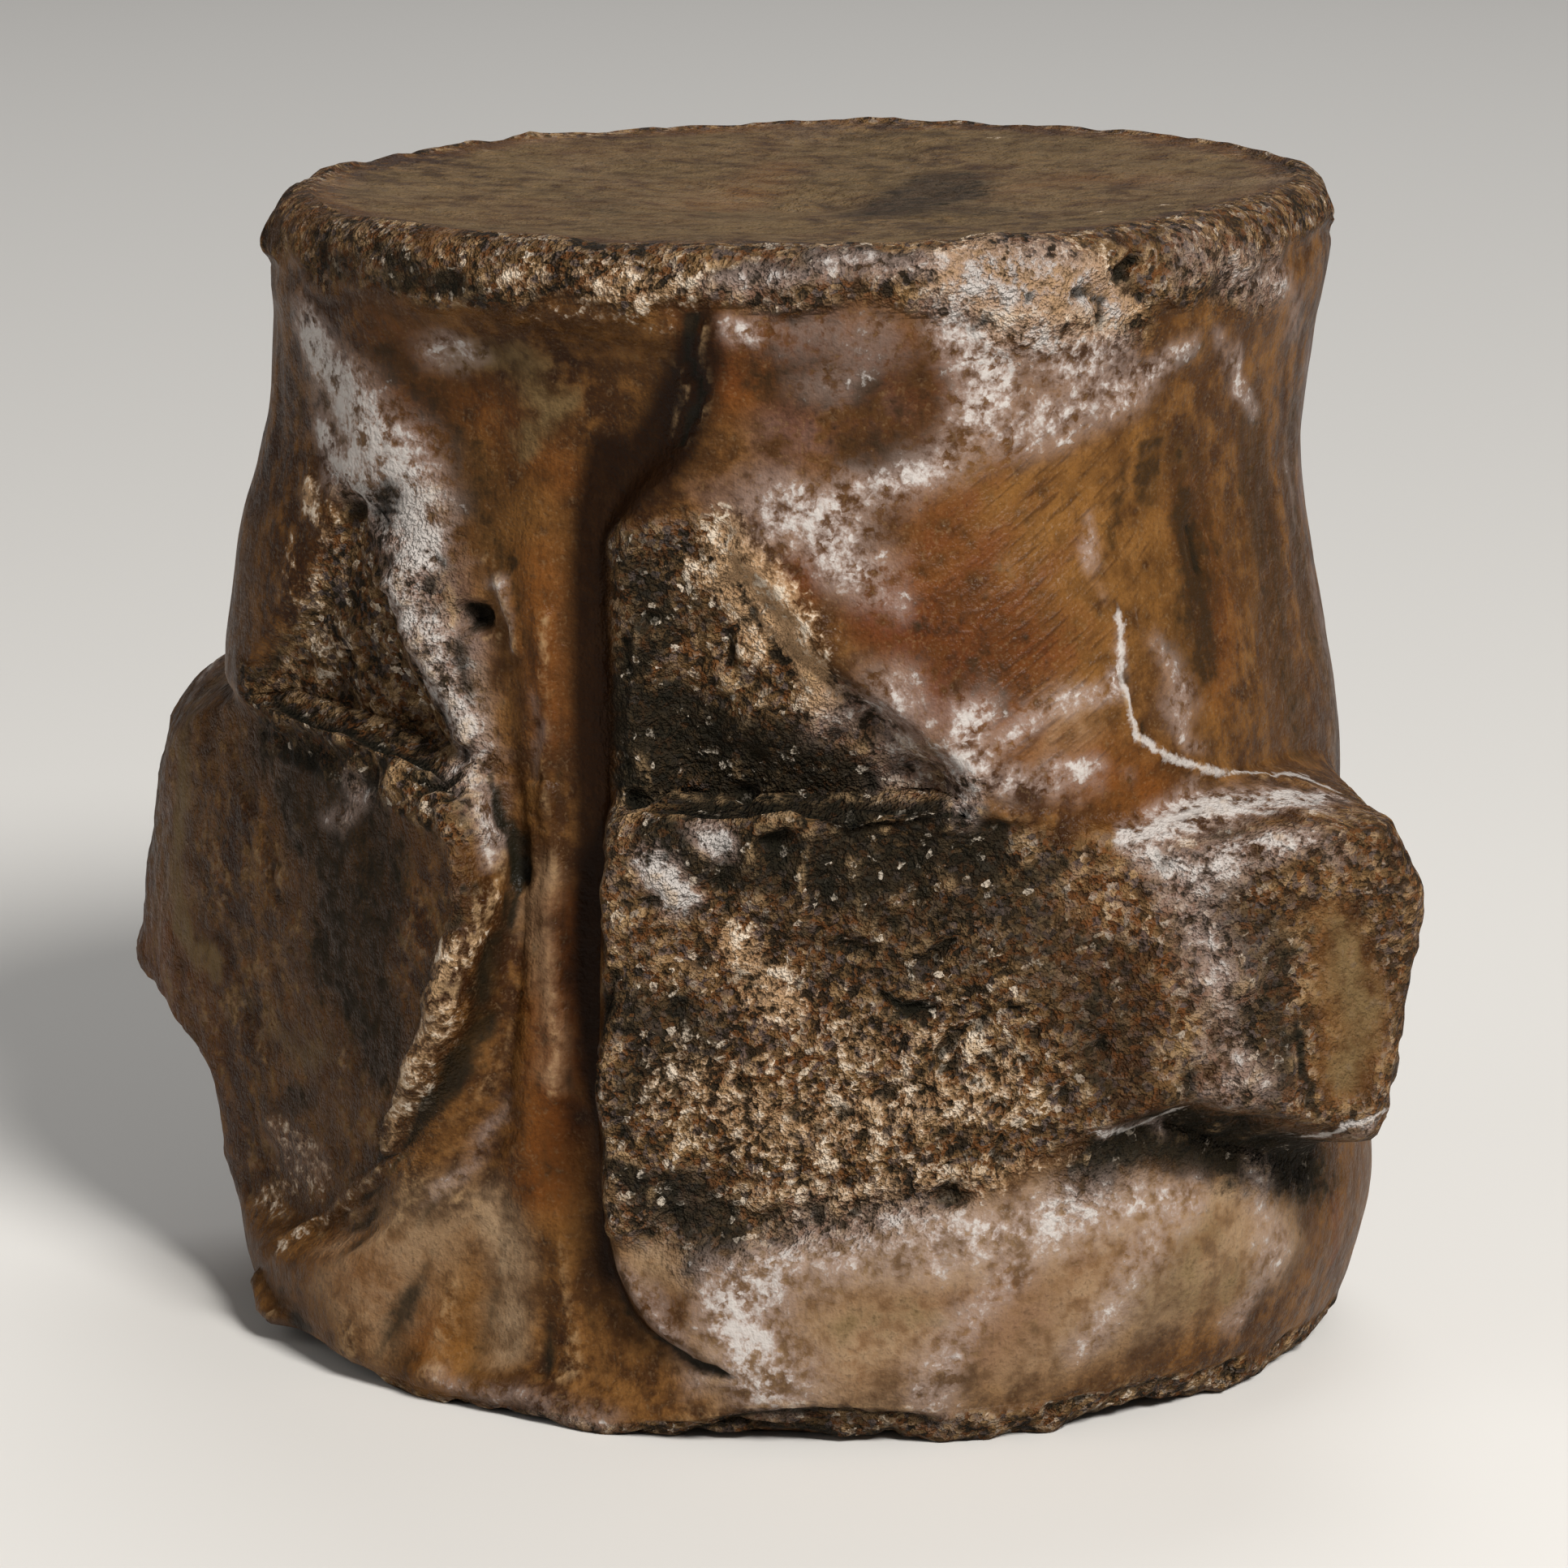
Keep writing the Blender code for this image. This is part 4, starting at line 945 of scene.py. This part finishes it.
class Nodes:
    """Short calls for building a material's node tree."""

    def __init__(self, name):
        self.material = bpy.data.materials.new(name)
        self.material.use_nodes = True
        self.tree = self.material.node_tree
        self.shader = self.tree.nodes["Principled BSDF"]

    def put(self, socket, value):
        if isinstance(value, bpy.types.NodeSocket):
            self.tree.links.new(value, socket)
        elif value is not None:
            socket.default_value = value

    def math(self, operation, a, b=None):
        node = self.tree.nodes.new("ShaderNodeMath")
        node.operation = operation
        self.put(node.inputs[0], a)
        self.put(node.inputs[1], b)
        return node.outputs[0]

    def add(self, a, b):
        return self.math("ADD", a, b)

    def times(self, a, b):
        return self.math("MULTIPLY", a, b)

    def sum(self, *terms):
        """The sum of (field, weight) terms."""
        parts = [field if weight == 1.0 else self.times(field, weight) for field, weight in terms]
        total = parts[0]
        for part in parts[1:]:
            total = self.add(total, part)
        return total

    def span(self, value, low, high, start=0.0, end=1.0):
        """A smooth step of value from start at low to end at high."""
        node = self.tree.nodes.new("ShaderNodeMapRange")
        node.interpolation_type = "SMOOTHSTEP"
        for name, number in (("From Min", low), ("From Max", high), ("To Min", start), ("To Max", end)):
            node.inputs[name].default_value = number
        self.put(node.inputs["Value"], value)
        return node.outputs[0]

    def blend(self, a, b, share):
        node = self.tree.nodes.new("ShaderNodeMix")
        node.data_type = "RGBA"
        colours = [socket for socket in node.inputs if socket.type == "RGBA"]
        self.put(node.inputs["Factor"], share)
        for socket, value in zip(colours, (a, b)):
            self.put(socket, (*value, 1.0) if isinstance(value, tuple) else value)
        return next(socket for socket in node.outputs if socket.type == "RGBA")

    def layer(self, colour, name, paint, field, *limits):
        """A colour with a paint over it where the named mask and the field's span allow."""
        return self.blend(colour, paint, self.times(self.mask(name), self.span(field, *limits)))

    def number(self, a, b, share):
        """From number a to number b by a share."""
        node = self.tree.nodes.new("ShaderNodeMix")
        node.data_type = "FLOAT"
        for place, value in ((0, share), (2, a), (3, b)):
            self.put(node.inputs[place], value)
        return node.outputs[0]

    def mask(self, name, output="Fac"):
        node = self.tree.nodes.new("ShaderNodeAttribute")
        node.attribute_type = "GEOMETRY"
        node.attribute_name = name
        return node.outputs[output]

    def vector_math(self, operation, a, b):
        node = self.tree.nodes.new("ShaderNodeVectorMath")
        node.operation = operation
        self.put(node.inputs[0], a)
        self.put(node.inputs[1], b)
        return node.outputs[0]

    def noise(self, vector, scale, detail, roughness):
        node = self.tree.nodes.new("ShaderNodeTexNoise")
        self.put(node.inputs["Vector"], vector)
        for name, number in (("Scale", scale), ("Detail", detail), ("Roughness", roughness)):
            node.inputs[name].default_value = number
        return node.outputs["Fac"]

    def grains(self, vector, scale):
        """Two random numbers from 0 to 1 for each of the scattered cells."""
        cells = self.tree.nodes.new("ShaderNodeTexVoronoi")
        self.put(cells.inputs["Vector"], vector)
        cells.inputs["Scale"].default_value = scale
        colour = self.tree.nodes.new("ShaderNodeSeparateColor")
        self.put(colour.inputs[0], cells.outputs["Color"])
        return colour.outputs[0], colour.outputs[1]

    def bumped(self, height, distance):
        node = self.tree.nodes.new("ShaderNodeBump")
        node.inputs["Distance"].default_value = distance
        self.put(node.inputs["Height"], height)
        return node.outputs[0]


# Colours of the bone, linear
BONE_DEEP = (0.024, 0.009, 0.003)
BONE_BROWN = (0.062, 0.026, 0.007)
BONE_GOLD = (0.135, 0.060, 0.016)
GOLD_COLOUR = (0.148, 0.066, 0.016)
AMBER_COLOUR = (0.105, 0.029, 0.004)
RED_COLOUR = (0.078, 0.019, 0.006)
TAN_COLOUR = (0.118, 0.077, 0.033)
LILAC_COLOUR = (0.150, 0.100, 0.084)
PALE_COLOUR = (0.255, 0.175, 0.105)
CHALK_FILM = (0.245, 0.180, 0.152)
CHALK_COLOUR = (0.410, 0.382, 0.360)
CREAM_COLOUR = (0.330, 0.205, 0.110)
CREAM_BRIGHT = (0.560, 0.470, 0.370)
TAN_SHADE = (0.062, 0.037, 0.013)
GRAIN_DARK = (0.009, 0.008, 0.005)
GRAIN_BROWN = (0.098, 0.058, 0.024)
GRAIN_RUST = (0.105, 0.040, 0.012)
GRAIN_VIOLET = (0.080, 0.064, 0.060)
GRAIN_TAN = (0.330, 0.215, 0.110)
GRAIN_GREY = (0.235, 0.205, 0.165)
# Stain colours, also used for painted shade under the rib process and towards the right outline, and for the
# darkening of the hollows
STAIN_AND_SHADE = (0.008, 0.007, 0.004)
BROWN_STAIN_AND_SHADE = (0.021, 0.011, 0.004)
# The colour of the painted shade on the canal's right wall and in its upper pocket
CANAL_SHADE_COLOUR = (0.010, 0.0035, 0.0008)
GLINT = (0.620, 0.540, 0.440)


# Noises of the material as (features per mm, detail, roughness), and the hairs' scales across and along them
FINE, FINEST, BLOTCH, HAIR_NOISE = (3.0, 3.0, 0.62), (11.0, 1.0, 0.60), (1.3, 2.0, 0.62), (1.0, 1.0, 0.6)
HAIRS, SLANTED_HAIRS = (7.0, 0.9, 1.0), (7.0, 0.8, 1.0)
GRAINS_PER_MM, GRAIN_RAGGEDNESS = 6.0, 0.25
GLOSS, MATT, SPECULAR, BUMP_METRES = (0.34, 0.50), 0.34, 0.07, 0.00022


def bone_material():
    """The bone's material. A number beside a field is its weight in a sum. Numbers after a field in n.span
    are the values at which a share starts and ends, and then the share at each."""
    n = Nodes("bone_surface")
    here = n.tree.nodes.new("ShaderNodeTexCoord").outputs["Object"]
    mm = n.vector_math("MULTIPLY", here, (1 / METRES_PER_MM,) * 3)
    raw, dark, chalk_and_sheen, cream = n.mask("raw"), n.mask("dark"), n.mask("chalk_and_sheen"), n.mask("cream")
    tone, patch, thread, cavity = n.mask("tone"), n.mask("patch"), n.mask("thread"), n.mask("cavity")
    fine, finest, blotch = n.noise(mm, *FINE), n.noise(mm, *FINEST), n.noise(mm, *BLOTCH)
    hairs = n.noise(n.vector_math("MULTIPLY", n.mask("upright", "Vector"), HAIRS), *HAIR_NOISE)
    leaning = n.noise(n.vector_math("MULTIPLY", n.mask("slanted", "Vector"), SLANTED_HAIRS), *HAIR_NOISE)
    hairs = n.number(0.5, n.number(hairs, leaning, n.mask("slant")), n.mask("fibrous"))
    off, wide, sharp = n.add(fine, -0.5), n.add(blotch, -0.5), n.add(finest, -0.5)
    mottle = n.sum((wide, 3.0), (off, 2.0), (sharp, 0.5))

    # Smooth bone, from the darkest ground up
    colour = n.blend(BONE_DEEP, BONE_BROWN, n.span(n.sum((tone, 1.0), (off, 1.2), (wide, 1.6)), -1.0, 0.5))
    colour = n.blend(colour, BONE_GOLD, n.span(n.sum((thread, 0.5), (wide, 3.0), (off, 2.6)), -0.35, 0.95))
    colour = n.layer(colour, "gold", GOLD_COLOUR, mottle, -0.9, 0.4, 0.35, 1.0)
    share = n.times(n.mask("amber"), n.span(n.sum((thread, 0.4), (mottle, 1.0)), -1.0, 0.5, 0.15, 1.0))
    colour = n.blend(colour, AMBER_COLOUR, n.times(share, n.span(hairs, 0.25, 0.55, 0.6, 0.95)))
    colour = n.layer(colour, "pale", PALE_COLOUR, mottle, -0.6, 0.45, 0.30, 1.0)
    colour = n.layer(colour, "red", RED_COLOUR, mottle, -0.6, 0.5)
    # Lilac tint; along the right outline it is partly painted sheen
    colour = n.layer(colour, "lilac_and_sheen", LILAC_COLOUR, n.add(patch, mottle), -0.7, 0.7)
    dull = n.blend(TAN_SHADE, TAN_COLOUR, n.span(n.sum((tone, 0.5), (mottle, 1.0)), -0.8, 0.35))
    colour = n.blend(colour, dull, n.span(n.sum((n.mask("tan"), 1.0), (mottle, 0.45)), 0.10, 1.0, 0.0, 0.90))
    colour = n.blend(colour, BONE_DEEP, n.times(n.span(hairs, 0.50, 0.70), 0.55))
    spots = n.times(n.span(mottle, -0.45, -1.0, 0.0, 0.6), n.span(n.mask("pale"), 0.0, 0.8, 1.0, 0.35))
    colour = n.blend(colour, BONE_DEEP, spots)
    speck = n.sum((sharp, 1.0), (off, 0.7))
    colour = n.blend(colour, BONE_DEEP, n.span(speck, 0.02, 0.34, 0.0, 0.38))
    colour = n.blend(colour, GRAIN_TAN, n.span(speck, -0.04, -0.36, 0.0, 0.16))

    # Broken bone: grains in black, rust, ochre, violet, cream and grey
    lot, hue = n.grains(n.vector_math("ADD", mm, n.times(off, GRAIN_RAGGEDNESS)), GRAINS_PER_MM)
    grain = n.sum((off, 0.8), (sharp, 0.35), (wide, 0.65), (patch, 0.06), (n.add(lot, -0.5), 0.30))
    light = n.blend(GRAIN_GREY, GRAIN_TAN, n.span(n.sum((hue, 1.0), (wide, 1.5)), 0.25, 0.65))
    brown = n.blend(GRAIN_RUST, GRAIN_BROWN, n.span(hue, 0.25, 0.45))
    brown = n.blend(brown, GRAIN_VIOLET, n.span(hue, 0.70, 0.85))
    grainy = n.blend(GRAIN_DARK, brown, n.span(grain, -0.20, 0.00))
    grainy = n.blend(grainy, colour, n.span(grain, -0.14, 0.10, 0.15, 0.50))
    grainy = n.blend(grainy, light, n.times(n.span(grain, -0.02, 0.28), n.span(raw, 0.2, 0.8, 0.20, 0.70)))
    share_raw = n.span(n.sum((raw, 1.0), (off, 1.0), (wide, 0.8)), 0.20, 0.62)
    colour = n.blend(colour, grainy, share_raw)

    # Stains, with painted shade under the rib process and towards the right outline; glints; and painted
    # shade on the canal's right wall and in the pocket at its upper end
    share = n.span(n.sum((dark, 1.25), (off, 1.8), (wide, 1.2)), 0.15, 1.15, 0.0, 0.93)
    share = n.times(share, n.span(dark, 0.0, 0.15))
    # Stains, and painted shade under the rib process and towards the right outline: brown on smooth bone,
    # greenish black on granular bone
    colour = n.blend(colour, n.blend(BROWN_STAIN_AND_SHADE, STAIN_AND_SHADE, share_raw), share)
    glints = n.span(n.sum((lot, 1.0), (sharp, 0.25), (wide, 0.35)), 0.94, 1.04, 0.0, 0.55)
    colour = n.blend(colour, GLINT, n.times(glints, n.span(raw, 0.4, 0.9)))
    # Painted shade: the canal's right wall and upper pocket turn dark reddish brown
    share = n.times(n.span(n.mask("canal_shade"), 0.0, 0.8), n.span(fine, 0.3, 0.7, 0.99, 0.95))
    colour = n.blend(colour, CANAL_SHADE_COLOUR, share)

    # Mineral crust: cream, then white with a thin film round it, the veins and fissures; along the right
    # outline the white film is partly painted sheen
    flecks = n.add(n.sum((off, 2.2), (wide, 2.2), (sharp, 0.9), (lot, 0.5)), -0.25)
    share = n.span(n.sum((cream, 1.3), (flecks, 0.9), (wide, -0.9)), 0.50, 1.30, 0.0, 0.92)
    share = n.times(share, n.span(cream, 0.0, 0.2))
    colour = n.blend(colour, n.blend(CREAM_COLOUR, CREAM_BRIGHT, n.span(flecks, 0.0, 0.7)), share)
    film = n.span(n.sum((flecks, 1.0), (hairs, 0.6)), -0.35, 0.5, 0.02, 0.80)
    colour = n.blend(colour, CHALK_FILM, n.times(n.span(chalk_and_sheen, 0.0, 0.9), film))
    share_chalk = n.sum((chalk_and_sheen, 1.2), (flecks, 0.80), (n.add(hairs, -0.5), 0.7))
    share_chalk = n.times(n.span(share_chalk, 0.78, 1.45, 0.0, 0.92), n.span(chalk_and_sheen, 0.0, 0.3))
    colour = n.blend(colour, CHALK_COLOUR, share_chalk)
    line = n.sum((n.math("ABSOLUTE", n.mask("vein")), 1.0), (sharp, 0.12), (off, 0.45))
    colour = n.layer(colour, "vein_near", CHALK_COLOUR, line, 0.16, 0.02, 0.0, 0.80)
    line = n.sum((n.math("ABSOLUTE", n.mask("fissure")), 1.0), (off, 0.45))
    colour = n.layer(colour, "fissure_near", STAIN_AND_SHADE, line, 0.18, 0.03, 0.0, 0.8)

    # Darker in the hollows, lighter on the heights, from the relief's cavity
    colour = n.blend(colour, STAIN_AND_SHADE, n.span(n.sum((cavity, 1.0), (off, 1.0)), 0.10, 1.0, 0.0, 0.85))
    worn = n.times(n.span(cavity, -0.2, -0.9), n.span(fine, 0.4, 0.65, 0.0, 0.5))
    colour = n.blend(colour, GRAIN_TAN, worn)
    n.put(n.shader.inputs["Base Color"], colour)

    matt = n.math("MAXIMUM", n.math("MAXIMUM", share_raw, share_chalk), n.times(n.mask("tan"), 0.6))
    n.put(n.shader.inputs["Roughness"], n.sum((n.span(fine, 0.3, 0.7, *GLOSS), 1.0), (matt, MATT)))
    n.shader.inputs["Specular IOR Level"].default_value = SPECULAR
    bumps = n.times(finest, n.add(n.times(raw, 0.9), 0.10))
    bumps = n.sum((bumps, 1.0), (hairs, 0.18))
    bumps = n.add(bumps, n.times(fine, n.add(n.times(raw, 1.6), 0.35)))
    n.put(n.shader.inputs["Normal"], n.bumped(bumps, BUMP_METRES))
    return n.material


FLOOR_COLOUR, FLOOR_ROUGHNESS, FLOOR_HALF = (0.62, 0.61, 0.59, 1.0), 0.8, 3.0
LIGHT_TARGET = Vector((0, 0, 0.013))
WARM, WHITE = (1.0, 0.97, 0.93), (1.0, 1.0, 1.0)
# Soft lights: name, azimuth, elevation, distance and size in metres, watts, colour
LIGHTS = (
    ("key", 58.0, 38.0, 0.40, 0.12, 2.5, WARM),
    ("fill", -30.0, 30.0, 0.55, 0.40, 0.42, WARM),
    ("back", 200.0, 50.0, 0.55, 0.35, 0.9, WHITE),
)
WORLD_COLOUR, WORLD_STRENGTH = (0.90, 0.88, 0.86, 1.0), 0.17
CLIP = (0.01, 10.0)


def add_floor():
    n = Nodes("floor")
    n.shader.inputs["Base Color"].default_value = FLOOR_COLOUR
    n.shader.inputs["Roughness"].default_value = FLOOR_ROUGHNESS
    corners = [(x * FLOOR_HALF, y * FLOOR_HALF, 0) for x, y in ((-1, -1), (1, -1), (1, 1), (-1, 1))]
    mesh = bpy.data.meshes.new("floor")
    mesh.from_pydata(corners, [], [(0, 1, 2, 3)])
    floor = bpy.data.objects.new("floor", mesh)
    floor.data.materials.append(n.material)
    bpy.context.scene.collection.objects.link(floor)


def add_light(name, az, el, distance, size, watts, colour):
    data = bpy.data.lights.new(name, "AREA")
    data.shape = "DISK"
    data.size = size
    data.energy = watts
    data.color = colour
    light = bpy.data.objects.new(name, data)
    away = Vector((sind(az) * cosd(el), -cosd(az) * cosd(el), sind(el)))
    light.location = away * distance + LIGHT_TARGET
    light.rotation_euler = away.to_track_quat("Z", "Y").to_euler()
    bpy.context.scene.collection.objects.link(light)


def add_world():
    world = bpy.data.worlds.new("studio")
    bpy.context.scene.world = world
    world.use_nodes = True
    background = world.node_tree.nodes["Background"]
    background.inputs["Color"].default_value = WORLD_COLOUR
    background.inputs["Strength"].default_value = WORLD_STRENGTH


def add_camera():
    data = bpy.data.cameras.new("camera")
    data.sensor_width = SENSOR
    data.lens = FOCAL_PX / IMAGE_SIDE * SENSOR
    data.clip_start, data.clip_end = CLIP
    made = bpy.data.objects.new("camera", data)
    turn = Matrix([CAMERA_RIGHT, CAMERA_UP, TO_CAMERA]).transposed().to_4x4()
    made.matrix_world = Matrix.Translation(Vector(CAMERA_AT * METRES_PER_MM)) @ turn
    bpy.context.scene.collection.objects.link(made)
    bpy.context.scene.camera = made


bpy.context.scene.view_settings.view_transform = "Standard"
BONE = place_mesh()
BONE.data.materials.append(bone_material())
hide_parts("centrum")
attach(BONE, "root")
add_floor()
for light in LIGHTS:
    add_light(*light)
add_world()
add_camera()
